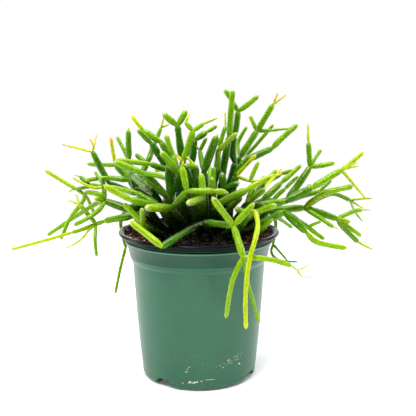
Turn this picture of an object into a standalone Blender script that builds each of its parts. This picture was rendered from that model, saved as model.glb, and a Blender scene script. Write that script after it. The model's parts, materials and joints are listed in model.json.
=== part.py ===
"""Mistletoe cactus in a plastic nursery pot: pot, soil and one fused solid for each stem.

Metres, +Z up, the viewer of the photograph on the -Y side. The segments of the stems are placed by eye on
the photograph: each joint is a pixel of the 416 x 416 picture and how far it stands toward the viewer.
"""
import math
import random

import bmesh
import bpy
import numpy as np
from mathutils import Vector

MM = 0.001

# Pot, a common 4 1/4 inch thermoformed nursery pot
POT_HEIGHT = 99.4
LIP_RADIUS = 54.0
LIP_BAND = 2.0
LIP_HALF = 1.1
RIDGE_RADIUS = 50.0
RIDGE_HEIGHT = 93.5
COLLAR_RADIUS = 47.5
COLLAR_FOOT_RADIUS = 46.4
COLLAR_FOOT_HEIGHT = 81.5
WALL_TOP_RADIUS = 44.6
WALL_FOOT_RADIUS = 38.8
SHOULDER_HEIGHT = 5.0
FOOT_RADIUS = 33.4
WALL = 1.0
FLOOR_HEIGHT = 7.0
FLOOR_THICKNESS = 1.2
POT_SIDES = 36

# Drain notches between the feet: centre angle from the viewer's side toward +X, and width, in degrees
NOTCHES = ((-37.0, 25.0), (62.0, 25.0), (150.0, 25.0), (-125.0, 25.0))
NOTCH_HEIGHT = 5.6
SMALL_NOTCHES = (-6.0, 15.0, 33.0)
SMALL_NOTCH_RADIUS = 2.6

# Soil
SOIL_TOP = 95.4
SOIL_CROWN = 0.6
SOIL_GAP = 0.3
HOLE_DEPTH = 9.0
HOLE_GAP = 0.35
HOLE_SIDES = 6
PEG_RADIUS = 2.0
PEG_SEAT_GAP = 0.3
ROOT_SPACING = 6.4
ROOT_REACH = 41.0

# The viewpoint of the photograph
VIEW_DISTANCE = 500.0
VIEW_HEIGHT = 197.5
VIEW_PITCH = 0.1653
VIEW_YAW = 0.0123
FOCAL_PIXELS = 755.0
PICTURE_CENTRE = 208.0

# Stems
TUBE_SIDES_LEVEL = 1
SLIM_WIDTH = 3.0
SHORT_LINK = 14.5
WIDTH_SCALE = 1.1
STEM_CLEARANCE = 0.35
POT_CLEARANCE = 0.8
ELBOW_LENGTH = 24.0
RELAX_ROUNDS = 900
BACK_SEED = 11
# Roots of the stems that stand hidden behind the others
BACK_ROOTS = ((-30.0, 12.0), (-6.0, 30.0), (8.0, 32.0), (31.0, 19.0), (-17.0, 33.0))

# name: (root in mm from the pot's axis, segments as
# (label, label of the segment it grows from, width in mm, hue from 0 dark to 1 yellow tip,
#  joints as (pixel across, pixel down, mm toward the viewer)))
STEMS = {
    "low_left": ((-27, -3), [
        ("a", "root", 4.8, 0.10, [(134, 216, 4)]),
        ("b", "a", 4.4, 0.30, [(105, 221, 0)]),
        ("c", "b", 3.0, 0.40, [(96, 224, -2)]),
        ("d", "c", 2.9, 0.50, [(72, 232.5, -6)]),
        ("e", "d", 2.2, 0.85, [(40, 241.5, -10), (11.5, 249.5, -14)]),
        ("f", "c", 2.3, 0.50, [(95, 240, 4), (96.5, 256, 6)]),
        ("g", "c", 1.7, 0.88, [(88, 231, 0), (80, 240, 2), (66, 248.5, 4)]),
        ("h", "c", 3.0, 0.45, [(80, 205, 2)]),
        ("i", "h", 1.3, 0.92, [(76, 194, 0)]),
        ("j", "h", 1.3, 0.92, [(68.5, 200.5, 4)]),
    ]),
    "left_main": ((-20, 7), [
        ("a", "root", 5.2, 0.02, [(135, 212, -6)]),
        ("b", "a", 5.2, 0.10, [(104.5, 201, -10)]),
        ("c", "b", 3.2, 0.40, [(104, 187, -12)]),
        ("d", "b", 2.8, 0.72, [(95, 198.5, -2)]),
        ("e", "b", 3.2, 0.45, [(100, 195, -8), (86, 192, -12)]),
        ("f", "e", 2.7, 0.55, [(82, 203, -12), (70, 219, -12), (61, 239, -10)]),
        ("g", "b", 3.0, 0.50, [(95, 204.5, -16), (78, 215, -20), (48, 235, -26)]),
        ("h", "b", 3.0, 0.45, [(100, 209, -2), (88, 218, 2), (74.5, 225, 4)]),
        ("k", "c", 2.0, 0.90, [(95, 188, -9), (84, 184, -7), (73, 178, -5)]),
        ("l", "c", 2.6, 0.45, [(90, 185, -18)]),
        ("m", "l", 3.0, 0.30, [(80, 176.5, -20)]),
        ("n", "m", 1.2, 0.98, [(74.5, 175, -20)]),
        ("o", "c", 2.2, 0.40, [(95, 172, -18)]),
        ("p", "c", 2.6, 0.30, [(102, 177, -6)]),
        ("q", "c", 2.4, 0.35, [(90, 187, -22), (76, 189, -26)]),
        ("r", "q", 1.2, 0.98, [(69, 191.5, -26)]),
        ("s", "q", 2.7, 0.75, [(45.5, 170.5, -30)]),
        ("t", "q", 2.3, 0.50, [(86, 197, -26), (94, 213, -24)]),
    ]),
    "left_high": ((-13, 21), [
        ("a", "root", 4.8, 0.00, [(137, 194, -24)]),
        ("b", "a", 4.2, 0.10, [(109, 183, -26)]),
        ("c", "b", 4.3, 0.12, [(92.5, 152, -28)]),
        ("d", "c", 1.8, 0.92, [(62, 144.5, -30)]),
        ("e", "c", 1.3, 0.96, [(93.5, 146, -24), (90, 139, -22)]),
        ("f", "c", 1.7, 0.95, [(96.5, 134.5, -34)]),
        ("g", "a", 3.2, 0.15, [(138.5, 175, -18)]),
    ]),
    "left_back": ((-20, 28), [
        ("a", "root", 4.6, 0.00, [(134, 184, -36)]),
        ("b", "a", 4.4, 0.15, [(115.5, 165, -38)]),
        ("c", "b", 3.1, 0.45, [(88, 164, -44)]),
        ("d", "b", 2.6, 0.90, [(111, 138, -36)]),
    ]),
    "left_cross": ((-17, -7), [
        ("a", "root", 5.0, 0.05, [(166, 196, 18)]),
        ("b", "a", 5.2, 0.20, [(143, 173, 20)]),
        ("c", "b", 4.2, 0.50, [(115.5, 162, 20)]),
        ("d", "b", 3.4, 0.45, [(163, 176, 28)]),
    ]),
    "left_dark": ((-15, 9), [
        ("a", "root", 4.8, 0.00, [(152, 190, -2)]),
        ("b", "a", 4.6, 0.08, [(132, 176, -4)]),
        ("c", "a", 4.0, 0.15, [(143, 172, 2)]),
    ]),
    "left_low_dark": ((-23, 2), [
        ("a", "root", 5.0, 0.00, [(148, 208, 8)]),
        ("b", "a", 4.6, 0.10, [(126, 208, 10)]),
        ("c", "a", 3.4, 0.25, [(134, 199, 10)]),
    ]),
    "centre_left_dark": ((-13, 3), [
        ("a", "root", 4.8, 0.00, [(170, 198, 6)]),
        ("b", "a", 5.0, 0.02, [(168, 165, 4)]),
        ("c", "a", 4.6, 0.02, [(179, 172, 0)]),
    ]),
    "left_reach": ((-9, 5), [
        ("a", "root", 4.4, 0.02, [(172, 171, 2)]),
        ("b", "a", 3.8, 0.20, [(150, 164, 4)]),
        ("c", "b", 3.2, 0.60, [(117, 159.8, 6)]),
    ]),
    "left_fork": ((-20, 15), [
        ("a", "root", 4.6, 0.05, [(134, 188, -14)]),
        ("b", "a", 4.0, 0.20, [(129, 160, -14)]),
        ("c", "b", 3.9, 0.25, [(128.3, 131, -14)]),
        ("d", "c", 1.2, 0.98, [(128.6, 127.5, -14)]),
        ("e", "b", 2.6, 0.45, [(117, 137, -20)]),
        ("f", "a", 4.2, 0.20, [(147, 164, -22)]),
        ("g", "f", 3.5, 0.30, [(136, 154.5, -24)]),
        ("h", "f", 4.0, 0.35, [(154, 146, -28)]),
        ("i", "h", 2.8, 0.50, [(161, 127.5, -30)]),
        ("j", "i", 1.5, 0.93, [(164, 117.5, -30)]),
        ("k", "i", 1.5, 0.90, [(169.5, 124.5, -28)]),
        ("l", "a", 2.8, 0.20, [(130.5, 171, -6)]),
    ]),
    "front_low_left": ((-13, -17), [
        ("a", "root", 4.8, 0.15, [(160, 206, 28)]),
        ("b", "a", 5.0, 0.28, [(131, 200, 30)]),
        ("c", "b", 3.8, 0.62, [(105, 185.8, 30)]),
        ("d", "a", 3.8, 0.30, [(137, 193, 22)]),
        ("e", "d", 3.3, 0.55, [(109, 187, 16)]),
    ]),
    "rim_left": ((-24, -17), [
        ("a", "root", 4.4, 0.25, [(144, 226, 28)]),
        ("b", "a", 3.4, 0.55, [(124, 204, 28)]),
        ("c", "a", 3.4, 0.60, [(142, 209, 36)]),
    ]),
    "front_middle": ((-6, -12), [
        ("a", "root", 4.8, 0.15, [(172, 208, 26)]),
        ("b", "a", 5.0, 0.60, [(146.5, 208, 46)]),
        ("c", "a", 4.6, 0.30, [(187, 191.5, 32)]),
        ("d", "c", 4.0, 0.58, [(213, 191, 34)]),
        ("e", "d", 3.8, 0.66, [(226.5, 192.8, 34)]),
        ("f", "c", 4.0, 0.50, [(182, 167, 30)]),
        ("g", "f", 1.7, 0.95, [(183.5, 161, 30)]),
    ]),
    "over_rim": ((0, -20), [
        ("a", "root", 4.2, 0.08, [(203, 223, 32)]),
        ("b", "a", 4.5, 0.32, [(162, 246.5, 53)]),
        ("c", "b", 3.9, 0.74, [(131, 222, 46)]),
    ]),
    "crown_left": ((-5, 18), [
        ("a", "root", 4.8, 0.00, [(178, 168, -12)]),
        ("b", "a", 4.5, 0.25, [(161, 142, -14)]),
        ("c", "b", 4.6, 0.50, [(144, 131, -16)]),
        ("d", "c", 2.6, 0.93, [(132, 116, -18)]),
    ]),
    "crown_dark": ((-12, 11), [
        ("a", "root", 4.6, 0.00, [(167, 168, -6)]),
        ("b", "a", 4.4, 0.05, [(151, 143, -4)]),
        ("c", "b", 3.4, 0.30, [(138, 130, -2)]),
    ]),
    "crown_fork": ((-3, 8), [
        ("a", "root", 4.8, 0.00, [(182, 160, -6)]),
        ("b", "a", 4.6, 0.06, [(177.5, 126, -8)]),
        ("c", "b", 4.0, 0.45, [(163.5, 114, -8)]),
        ("d", "b", 4.0, 0.50, [(186, 111, -10)]),
    ]),
    "crown_front": ((-9, -2), [
        ("a", "root", 4.6, 0.05, [(178, 172, 14)]),
        ("b", "a", 4.6, 0.45, [(161.5, 152.5, 18)]),
        ("c", "a", 3.6, 0.30, [(173, 155, 10)]),
        ("d", "c", 3.4, 0.58, [(166, 135.5, 10)]),
    ]),
    "crown_spire": ((0, 0), [
        ("a", "root", 4.6, 0.05, [(183, 162, 4)]),
        ("b", "a", 4.4, 0.50, [(193, 131, 4)]),
        ("c", "a", 1.9, 0.93, [(170, 148.8, -2)]),
        ("d", "b", 3.0, 0.55, [(203.5, 123.5, 0)]),
        ("e", "d", 1.9, 0.90, [(217, 118, -2)]),
        ("f", "b", 3.2, 0.62, [(185.5, 122.5, 4)]),
        ("g", "f", 1.8, 0.85, [(189.5, 114, 2)]),
    ]),
    "crown_back": ((3, 14), [
        ("a", "root", 5.0, 0.00, [(192, 165, -18)]),
        ("b", "a", 4.6, 0.02, [(195, 140, -20)]),
        ("c", "b", 4.2, 0.30, [(206.5, 132, -20)]),
        ("d", "c", 2.8, 0.52, [(216.5, 126, -22)]),
    ]),
    "middle_dark": ((5, 3), [
        ("a", "root", 5.0, 0.02, [(204, 172, 2)]),
        ("b", "a", 5.2, 0.12, [(216.5, 137, 2)]),
        ("c", "b", 1.9, 0.98, [(218, 133.5, 2)]),
        ("d", "a", 3.4, 0.20, [(200, 151, -6)]),
        ("e", "d", 2.4, 0.35, [(206.5, 138, -8)]),
        ("f", "d", 1.5, 0.92, [(196, 146, -4)]),
    ]),
    "middle_slim": ((9, 17), [
        ("a", "root", 4.2, 0.00, [(215, 176, -18)]),
        ("b", "a", 3.6, 0.30, [(219, 148, -20)]),
        ("c", "b", 3.0, 0.42, [(225.5, 126.5, -22)]),
        ("d", "c", 1.6, 0.97, [(225, 112.5, -24)]),
    ]),
    "tall_spire": ((13, 9), [
        ("a", "root", 4.8, 0.00, [(221, 182, -4)]),
        ("b", "a", 4.8, 0.03, [(229, 137, -6)]),
        ("c", "b", 3.9, 0.34, [(230.5, 110, -7), (232.7, 91, -8)]),
    ]),
    "tall_fork": ((18, 13), [
        ("a", "root", 5.0, 0.00, [(235, 163, -14)]),
        ("b", "a", 4.8, 0.03, [(232.5, 150, -14), (234.5, 136, -14)]),
        ("c", "b", 4.2, 0.16, [(238, 111.5, -16)]),
        ("d", "c", 3.2, 0.40, [(225, 90, -18)]),
        ("e", "c", 3.4, 0.42, [(258, 96, -14)]),
    ]),
    "right_crown": ((17, 21), [
        ("a", "root", 4.6, 0.02, [(240, 157, -26)]),
        ("b", "a", 4.4, 0.28, [(257, 131, -28)]),
        ("c", "b", 2.8, 0.50, [(250, 116, -32)]),
        ("d", "b", 4.0, 0.36, [(273, 104.5, -26)]),
        ("e", "d", 1.6, 0.97, [(278, 92.5, -26)]),
        ("f", "d", 1.6, 0.92, [(286, 95, -24)]),
        ("g", "b", 2.7, 0.42, [(271, 130.5, -30)]),
        ("h", "g", 2.0, 0.55, [(290, 128.5, -32)]),
        ("i", "a", 2.7, 0.45, [(249, 152, -34), (273, 125, -38)]),
        ("j", "a", 2.7, 0.50, [(238, 143, -32), (246.5, 127, -34)]),
    ]),
    "right_arch": ((21, 2), [
        ("a", "root", 4.6, 0.02, [(236, 176, 2)]),
        ("b", "a", 4.4, 0.10, [(243, 162, 0)]),
        ("c", "b", 4.4, 0.18, [(272, 148.5, -2)]),
        ("d", "c", 3.7, 0.42, [(297, 125, -4)]),
        ("e", "a", 2.4, 0.86, [(255.5, 155.5, 10)]),
        ("f", "a", 2.1, 0.82, [(250, 181, 12)]),
        ("g", "f", 2.1, 0.82, [(269, 182.3, 14)]),
        ("h", "f", 2.6, 0.55, [(258.5, 162, 10)]),
    ]),
    "olive_spray": ((11, -9), [
        ("a", "root", 4.8, 0.10, [(215, 206, 22)]),
        ("b", "a", 5.0, 0.38, [(247, 190, 26)]),
        ("c", "b", 3.6, 0.76, [(263, 180.5, 24), (275, 176, 24)]),
        ("d", "c", 1.6, 0.95, [(282, 173.5, 24)]),
        ("e", "c", 1.5, 0.97, [(282, 168.5, 22)]),
        ("f", "c", 2.0, 0.88, [(265, 188, 32)]),
    ]),
    "right_slim": ((25, 5), [
        ("a", "root", 4.4, 0.08, [(262, 200, -4)]),
        ("b", "a", 4.2, 0.28, [(281, 183, -8)]),
        ("c", "b", 3.2, 0.50, [(300.5, 165.5, -12)]),
    ]),
    "right_pale": ((23, 13), [
        ("a", "root", 4.0, 0.05, [(257, 202, -20)]),
        ("b", "a", 3.8, 0.20, [(273, 200, -24)]),
        ("c", "b", 3.3, 0.38, [(285, 189, -28)]),
        ("d", "c", 2.7, 0.45, [(298, 176.5, -30)]),
    ]),
    "right_flag": ((30, 10), [
        ("a", "root", 4.8, 0.04, [(287, 200, -14)]),
        ("b", "a", 4.7, 0.20, [(310, 167, -20)]),
        ("c", "b", 3.6, 0.30, [(308.5, 142.5, -22)]),
        ("d", "c", 1.9, 0.90, [(308, 124, -23)]),
        ("e", "b", 2.7, 0.45, [(321, 150, -28)]),
        ("f", "b", 3.4, 0.50, [(334, 163, -16)]),
    ]),
    "right_reach": ((26, -4), [
        ("a", "root", 4.6, 0.10, [(256, 206, 10)]),
        ("b", "a", 4.4, 0.34, [(286, 201.5, 8)]),
        ("c", "b", 4.8, 0.16, [(312, 188, 6)]),
        ("d", "c", 4.2, 0.48, [(341.5, 170, 4)]),
        ("e", "d", 2.8, 0.80, [(363, 152.5, 2)]),
        ("f", "d", 1.6, 0.90, [(357.5, 162, 10)]),
        ("g", "d", 1.7, 0.90, [(358.5, 166, -4)]),
        ("h", "d", 2.0, 0.82, [(365, 198, 10)]),
        ("i", "b", 3.2, 0.30, [(320, 191, -4)]),
        ("j", "i", 2.7, 0.40, [(331, 180, -6)]),
        ("k", "i", 1.3, 0.98, [(330, 189.5, -4)]),
    ]),
    "right_main": ((32, -3), [
        ("a", "root", 4.8, 0.10, [(268, 211, 0)]),
        ("b", "a", 4.8, 0.28, [(304, 208, -2)]),
        ("c", "b", 3.8, 0.58, [(325, 194, 2), (352, 186.5, 4)]),
        ("d", "b", 4.8, 0.20, [(337, 219, -2)]),
        ("e", "d", 3.8, 0.35, [(345, 229, -4), (358, 242, -6)]),
        ("f", "e", 1.8, 0.88, [(374, 250, -8)]),
        ("g", "d", 2.9, 0.58, [(361, 236, 2)]),
        ("h", "d", 3.0, 0.58, [(350, 222, 6)]),
        ("i", "d", 3.2, 0.55, [(352, 212, -8), (362, 209.8, -10)]),
        ("j", "i", 1.2, 0.93, [(371, 210, -12)]),
        ("k", "b", 3.2, 0.50, [(333, 227, 8)]),
        ("l", "k", 1.3, 0.98, [(338.5, 229, 8)]),
        ("m", "b", 2.9, 0.35, [(330, 194, -12), (350, 200, -14)]),
        ("n", "m", 1.6, 0.86, [(373, 198, -16)]),
        ("o", "m", 1.5, 0.88, [(363.5, 208.5, -18)]),
        ("p", "m", 1.8, 0.60, [(355, 212, -22), (363, 222, -22)]),
        ("q", "a", 2.7, 0.40, [(292, 227.5, -14)]),
    ]),
    "right_droop": ((27, -14), [
        ("a", "root", 4.6, 0.12, [(284, 212, 18)]),
        ("b", "a", 5.2, 0.20, [(306, 232, 20)]),
        ("c", "b", 3.5, 0.60, [(315, 241, 20), (328, 245, 20), (346, 248, 20)]),
        ("d", "a", 4.0, 0.25, [(307.5, 227, 10)]),
        ("e", "d", 3.0, 0.45, [(324, 239, 10)]),
        ("f", "d", 2.4, 0.50, [(321, 221.5, 12)]),
    ]),
    "rim_right": ((38, -21), [
        ("a", "root", 3.3, 0.50, [(272, 219.5, 26)]),
    ]),
    "yellow_fall": ((23, -22), [
        ("a", "root", 3.8, 0.20, [(250, 212, 40)]),
        ("b", "a", 2.8, 0.93, [(255, 212.5, 47), (257.8, 225, 57), (255, 240, 64), (250, 258, 68),
                               (246.5, 282, 69), (245.3, 305, 68), (246, 328, 67)]),
    ]),
    "green_fall": ((8, -24), [
        ("a", "root", 4.2, 0.12, [(205, 222, 34)]),
        ("b", "a", 4.1, 0.28, [(233.5, 226, 52)]),
        ("c", "b", 4.1, 0.62, [(213, 198.5, 58)]),
        ("d", "b", 3.7, 0.55, [(253.5, 204, 50)]),
        ("e", "b", 4.2, 0.50, [(243, 257, 63)]),
        ("f", "e", 2.9, 0.60, [(232, 282, 64), (226, 317, 63)]),
        ("g", "e", 3.2, 0.68, [(268, 259.5, 62), (291, 265.5, 58)]),
        ("h", "e", 2.3, 0.48, [(248, 283, 59), (259, 322, 57)]),
        ("i", "g", 1.3, 0.85, [(297, 270, 58)]),
        ("j", "i", 1.0, 0.86, [(302, 276, 58), (312, 277.5, 58)]),
        ("k", "i", 1.0, 0.88, [(305, 267, 58), (311.5, 263, 58)]),
    ]),
    "behind_right": ((28, 22), [
        ("a", "root", 3.6, 0.10, [(268, 207, -32)]),
        ("b", "a", 2.8, 0.25, [(276, 222, -36), (273, 244, -33)]),
        ("c", "b", 2.0, 0.45, [(287, 260, -30)]),
        ("d", "b", 2.0, 0.35, [(272, 253, -31), (280, 260, -28), (298, 262, -26)]),
    ]),
    "behind_left": ((-28, 22), [
        ("a", "root", 3.4, 0.10, [(126, 208, -38)]),
        ("b", "a", 2.6, 0.30, [(121, 224, -40), (125.8, 247, -34)]),
        ("c", "b", 2.1, 0.60, [(122, 264, -31), (115.5, 293, -28)]),
    ]),
    "middle_stub": ((0, -10), [
        ("a", "root", 4.4, 0.20, [(203, 198, 28)]),
        ("b", "a", 4.6, 0.62, [(188, 203, 46)]),
        ("c", "a", 4.4, 0.50, [(201, 174.5, 22)]),
    ]),
    "middle_pair": ((9, -2), [
        ("a", "root", 4.0, 0.12, [(214, 193, 12)]),
        ("b", "a", 3.6, 0.50, [(212, 178, 12)]),
        ("c", "a", 3.0, 0.30, [(214, 168, 6)]),
    ]),
    "middle_hook": ((-2, -6), [
        ("a", "root", 4.0, 0.08, [(196.5, 167, 14)]),
        ("b", "a", 3.6, 0.50, [(185.5, 165, 18)]),
        ("c", "a", 1.7, 0.90, [(186, 156.5, 12)]),
    ]),
    "right_short": ((18, -12), [
        ("a", "root", 4.4, 0.15, [(250, 201, 18)]),
        ("b", "a", 3.8, 0.45, [(264.5, 189.5, 18)]),
    ]),
    "right_tuft": ((15, -18), [
        ("a", "root", 4.4, 0.18, [(252, 215, 30)]),
        ("b", "a", 3.8, 0.55, [(275, 205, 32)]),
        ("c", "a", 4.0, 0.45, [(236, 208.5, 36)]),
    ]),
    "right_fill": ((20, -3), [
        ("a", "root", 4.8, 0.10, [(247, 203, 10)]),
        ("b", "a", 4.6, 0.30, [(254, 189, 8)]),
        ("c", "a", 4.4, 0.25, [(264, 206, 12)]),
    ]),
    "centre_fill": ((12, -4), [
        ("a", "root", 4.8, 0.02, [(229, 210, 14)]),
        ("b", "a", 3.6, 0.35, [(241, 198, 20)]),
        ("c", "a", 4.8, 0.02, [(224, 190, 8)]),
        ("d", "c", 4.6, 0.08, [(222, 174, 6)]),
        ("e", "c", 4.6, 0.12, [(238, 183, 10)]),
    ]),
    "centre_cross": ((8, 9), [
        ("a", "root", 4.0, 0.05, [(219, 168, -2)]),
        ("b", "a", 3.2, 0.35, [(217.5, 151.5, 2)]),
        ("c", "b", 3.2, 0.60, [(236.5, 133.5, 6)]),
    ]),
}


def clear_scene():
    for thing in list(bpy.data.objects):
        bpy.data.objects.remove(thing, do_unlink=True)


def collection(name):
    group = bpy.data.collections.new(name)
    bpy.context.scene.collection.children.link(group)
    return group


def material(name, colour, roughness, specular=0.5):
    made = bpy.data.materials.new(name)
    made.use_nodes = True
    shader = made.node_tree.nodes["Principled BSDF"]
    shader.inputs["Base Color"].default_value = (*colour, 1.0)
    shader.inputs["Roughness"].default_value = roughness
    shader.inputs["Metallic"].default_value = 0.0
    shader.inputs["Specular IOR Level"].default_value = specular
    made.diffuse_color = (*colour, 1.0)
    return made


def apply_modifiers(thing):
    """Replace the object's mesh with the one that its modifiers give."""
    depsgraph = bpy.context.evaluated_depsgraph_get()
    mesh = bpy.data.meshes.new_from_object(thing.evaluated_get(depsgraph))
    thing.modifiers.clear()
    thing.data = mesh


def turned(name, profile, sides, group, finish):
    """A closed body turned about Z from a profile of (radius, height) in mm, down its outer side."""
    mesh = bpy.data.meshes.new(name)
    points = [(radius * MM, 0.0, height * MM) for radius, height in profile]
    mesh.from_pydata(points, [(i, i + 1) for i in range(len(points) - 1)], [])
    thing = bpy.data.objects.new(name, mesh)
    group.objects.link(thing)
    screw = thing.modifiers.new("turn", "SCREW")
    screw.axis = "Z"
    screw.steps = sides
    screw.render_steps = sides
    screw.use_merge_vertices = True
    screw.merge_threshold = 0.00001
    apply_modifiers(thing)
    mesh = thing.data
    mesh.materials.clear()
    mesh.materials.append(finish)
    return thing


def cut_away(thing, cutters):
    """Subtract a collection of cutters from the object, and remove them."""
    cut = thing.modifiers.new("cut", "BOOLEAN")
    cut.operation = "DIFFERENCE"
    cut.operand_type = "COLLECTION"
    cut.collection = cutters
    cut.solver = "EXACT"
    apply_modifiers(thing)
    remove_objects(cutters)


def remove_objects(group):
    for thing in list(group.objects):
        bpy.data.objects.remove(thing, do_unlink=True)


def hide_cutter(thing):
    thing.hide_render = True
    thing.display_type = "WIRE"


# Pot

def toward_viewer(degrees):
    """Unit direction that many degrees from the viewer's side, turning toward +X."""
    angle = math.radians(degrees)
    return Vector((math.sin(angle), -math.cos(angle), 0.0))


def pot_profile():
    inner = WALL
    return [
        (0.0, FLOOR_HEIGHT),
        (WALL_FOOT_RADIUS - 2.0, FLOOR_HEIGHT),
        (WALL_FOOT_RADIUS - inner, FLOOR_HEIGHT + 1.5),
        (WALL_TOP_RADIUS - inner, COLLAR_FOOT_HEIGHT - 2.0),
        (COLLAR_FOOT_RADIUS - inner, COLLAR_FOOT_HEIGHT + 1.0),
        (COLLAR_RADIUS - inner, RIDGE_HEIGHT - 5.0),
        (RIDGE_RADIUS - inner - 0.4, RIDGE_HEIGHT),
        (RIDGE_RADIUS + 0.2, POT_HEIGHT - 1.2),
        (RIDGE_RADIUS + 1.4, POT_HEIGHT),
        (LIP_RADIUS - 0.6, POT_HEIGHT),
        (LIP_RADIUS, POT_HEIGHT - 0.6),
        (LIP_RADIUS, POT_HEIGHT - LIP_BAND),
        (RIDGE_RADIUS + 0.4, POT_HEIGHT - LIP_BAND - 0.6),
        (RIDGE_RADIUS - 0.1, RIDGE_HEIGHT + 1.2),
        (RIDGE_RADIUS, RIDGE_HEIGHT),
        (COLLAR_RADIUS, RIDGE_HEIGHT - 5.6),
        (COLLAR_FOOT_RADIUS, COLLAR_FOOT_HEIGHT),
        (WALL_TOP_RADIUS, COLLAR_FOOT_HEIGHT - 2.5),
        (WALL_FOOT_RADIUS, SHOULDER_HEIGHT),
        (WALL_FOOT_RADIUS - 1.8, 1.4),
        (FOOT_RADIUS + 0.9, 0.0),
        (FOOT_RADIUS - 4.0, 0.0),
        (FOOT_RADIUS - 6.0, FLOOR_HEIGHT - FLOOR_THICKNESS),
        (0.0, FLOOR_HEIGHT - FLOOR_THICKNESS),
    ]


def notch_cutter(degrees, width_degrees, cutters):
    """A wedge with slanted sides that opens the base ring down to the floor."""
    middle_radius = 36.0
    foot_width = 2.0 * middle_radius * math.tan(math.radians(width_degrees / 2.0))
    bm = bmesh.new()
    bmesh.ops.create_cube(bm, size=1.0)
    for vertex in bm.verts:
        narrow = 0.72 if vertex.co.z > 0.0 else 1.12
        vertex.co.x *= foot_width * narrow * MM
        vertex.co.y *= 26.0 * MM
        vertex.co.z = (NOTCH_HEIGHT if vertex.co.z > 0.0 else -1.0) * MM
    mesh = bpy.data.meshes.new("notch_cutter")
    bm.to_mesh(mesh)
    bm.free()
    thing = bpy.data.objects.new("notch_cutter", mesh)
    thing.location = toward_viewer(degrees) * middle_radius * MM
    thing.rotation_euler = (0.0, 0.0, math.radians(degrees))
    cutters.objects.link(thing)
    hide_cutter(thing)


def small_notch_cutter(degrees, cutters):
    bm = bmesh.new()
    bmesh.ops.create_cone(
        bm, cap_ends=True, segments=12, radius1=SMALL_NOTCH_RADIUS * MM, radius2=SMALL_NOTCH_RADIUS * MM,
        depth=16.0 * MM)
    mesh = bpy.data.meshes.new("small_notch_cutter")
    bm.to_mesh(mesh)
    bm.free()
    thing = bpy.data.objects.new("small_notch_cutter", mesh)
    thing.location = toward_viewer(degrees) * WALL_FOOT_RADIUS * MM
    thing.rotation_euler = (math.radians(90.0), 0.0, math.radians(degrees))
    cutters.objects.link(thing)
    hide_cutter(thing)


def make_pot(group, cutters):
    finish = material("pot_plastic", (0.077, 0.235, 0.137), 0.38)
    pot = turned("pot", pot_profile(), POT_SIDES, group, finish)
    for degrees, width in NOTCHES:
        notch_cutter(degrees, width, cutters)
    for degrees in SMALL_NOTCHES:
        small_notch_cutter(degrees, cutters)
    cut_away(pot, cutters)
    return pot


# Soil

def soil_profile():
    edge = RIDGE_RADIUS - WALL - 0.6
    gap = WALL + SOIL_GAP
    return [
        (0.0, SOIL_TOP + SOIL_CROWN),
        (edge - 2.0, SOIL_TOP - 0.4),
        (edge - 0.4, SOIL_TOP - 1.2),
        (COLLAR_RADIUS - gap, RIDGE_HEIGHT - 5.0),
        (COLLAR_FOOT_RADIUS - gap, COLLAR_FOOT_HEIGHT + 1.0),
        (WALL_TOP_RADIUS - gap, COLLAR_FOOT_HEIGHT - 2.0),
        (WALL_FOOT_RADIUS - gap, FLOOR_HEIGHT + 1.8),
        (WALL_FOOT_RADIUS - gap - 2.0, FLOOR_HEIGHT + SOIL_GAP),
        (0.0, FLOOR_HEIGHT + SOIL_GAP),
    ]


def hole_cutter(root, cutters):
    bm = bmesh.new()
    radius = (PEG_RADIUS + HOLE_GAP) / math.cos(math.pi / HOLE_SIDES) * MM
    depth = HOLE_DEPTH + 4.0
    bmesh.ops.create_cone(bm, cap_ends=True, segments=HOLE_SIDES, radius1=radius, radius2=radius, depth=depth * MM)
    mesh = bpy.data.meshes.new("hole_cutter")
    bm.to_mesh(mesh)
    bm.free()
    thing = bpy.data.objects.new("hole_cutter", mesh)
    thing.location = (root[0] * MM, root[1] * MM, (SOIL_TOP - HOLE_DEPTH + depth / 2.0) * MM)
    cutters.objects.link(thing)
    hide_cutter(thing)


def make_soil(roots, group, cutters):
    finish = material("soil_mix", (0.018, 0.012, 0.009), 0.95, 0.2)
    soil = turned("soil", soil_profile(), POT_SIDES, group, finish)
    for root in roots:
        hole_cutter(root, cutters)
    cut_away(soil, cutters)
    return soil


# Stems

def viewpoint_ray(px, py):
    """Direction from the viewpoint through a pixel of the photograph, one long along its viewing axis."""
    across = (px - PICTURE_CENTRE) / FOCAL_PIXELS
    upward = (PICTURE_CENTRE - py) / FOCAL_PIXELS
    forward = Vector((
        math.sin(VIEW_YAW) * math.cos(VIEW_PITCH),
        math.cos(VIEW_YAW) * math.cos(VIEW_PITCH),
        -math.sin(VIEW_PITCH)))
    right = Vector((math.cos(VIEW_YAW), -math.sin(VIEW_YAW), 0.0))
    return forward + right * across + right.cross(forward) * upward


def seen(px, py, toward):
    """The point behind a pixel of the photograph, that many mm nearer the viewer than the pot's axis."""
    ray = viewpoint_ray(px, py)
    return Vector((0.0, -VIEW_DISTANCE, VIEW_HEIGHT)) + ray * ((VIEW_DISTANCE - toward) / ray.y)


class Plant:
    """The joints of all the stems, and the tubes between them, while they are moved clear of each other."""

    def __init__(self):
        self.points = []
        self.ways = []
        self.tubes = []
        self.segments = []

    def joint(self, point, way):
        """A joint that stays put (way None), moves along one direction, or moves freely (way "free")."""
        self.points.append(Vector(point))
        self.ways.append(way)
        return len(self.points) - 1

    def segment(self, stem, joints, width, hue):
        """One link of the plant, through two or more joints."""
        width = width * WIDTH_SCALE
        self.segments.append((stem, tuple(joints), width, hue))
        for start, end in zip(joints, joints[1:]):
            self.tubes.append((start, end, width / 2.0, stem))


def arched(start, end, count):
    """Points between two joints on a curve that rises first and then leans out."""
    control = Vector((start.x * 0.8 + end.x * 0.2, start.y * 0.8 + end.y * 0.2, start.z * 0.3 + end.z * 0.7))
    points = []
    for step in range(1, count):
        t = step / count
        points.append(start * (1 - t) ** 2 + control * (2 * t * (1 - t)) + end * t ** 2)
    return points


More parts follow.
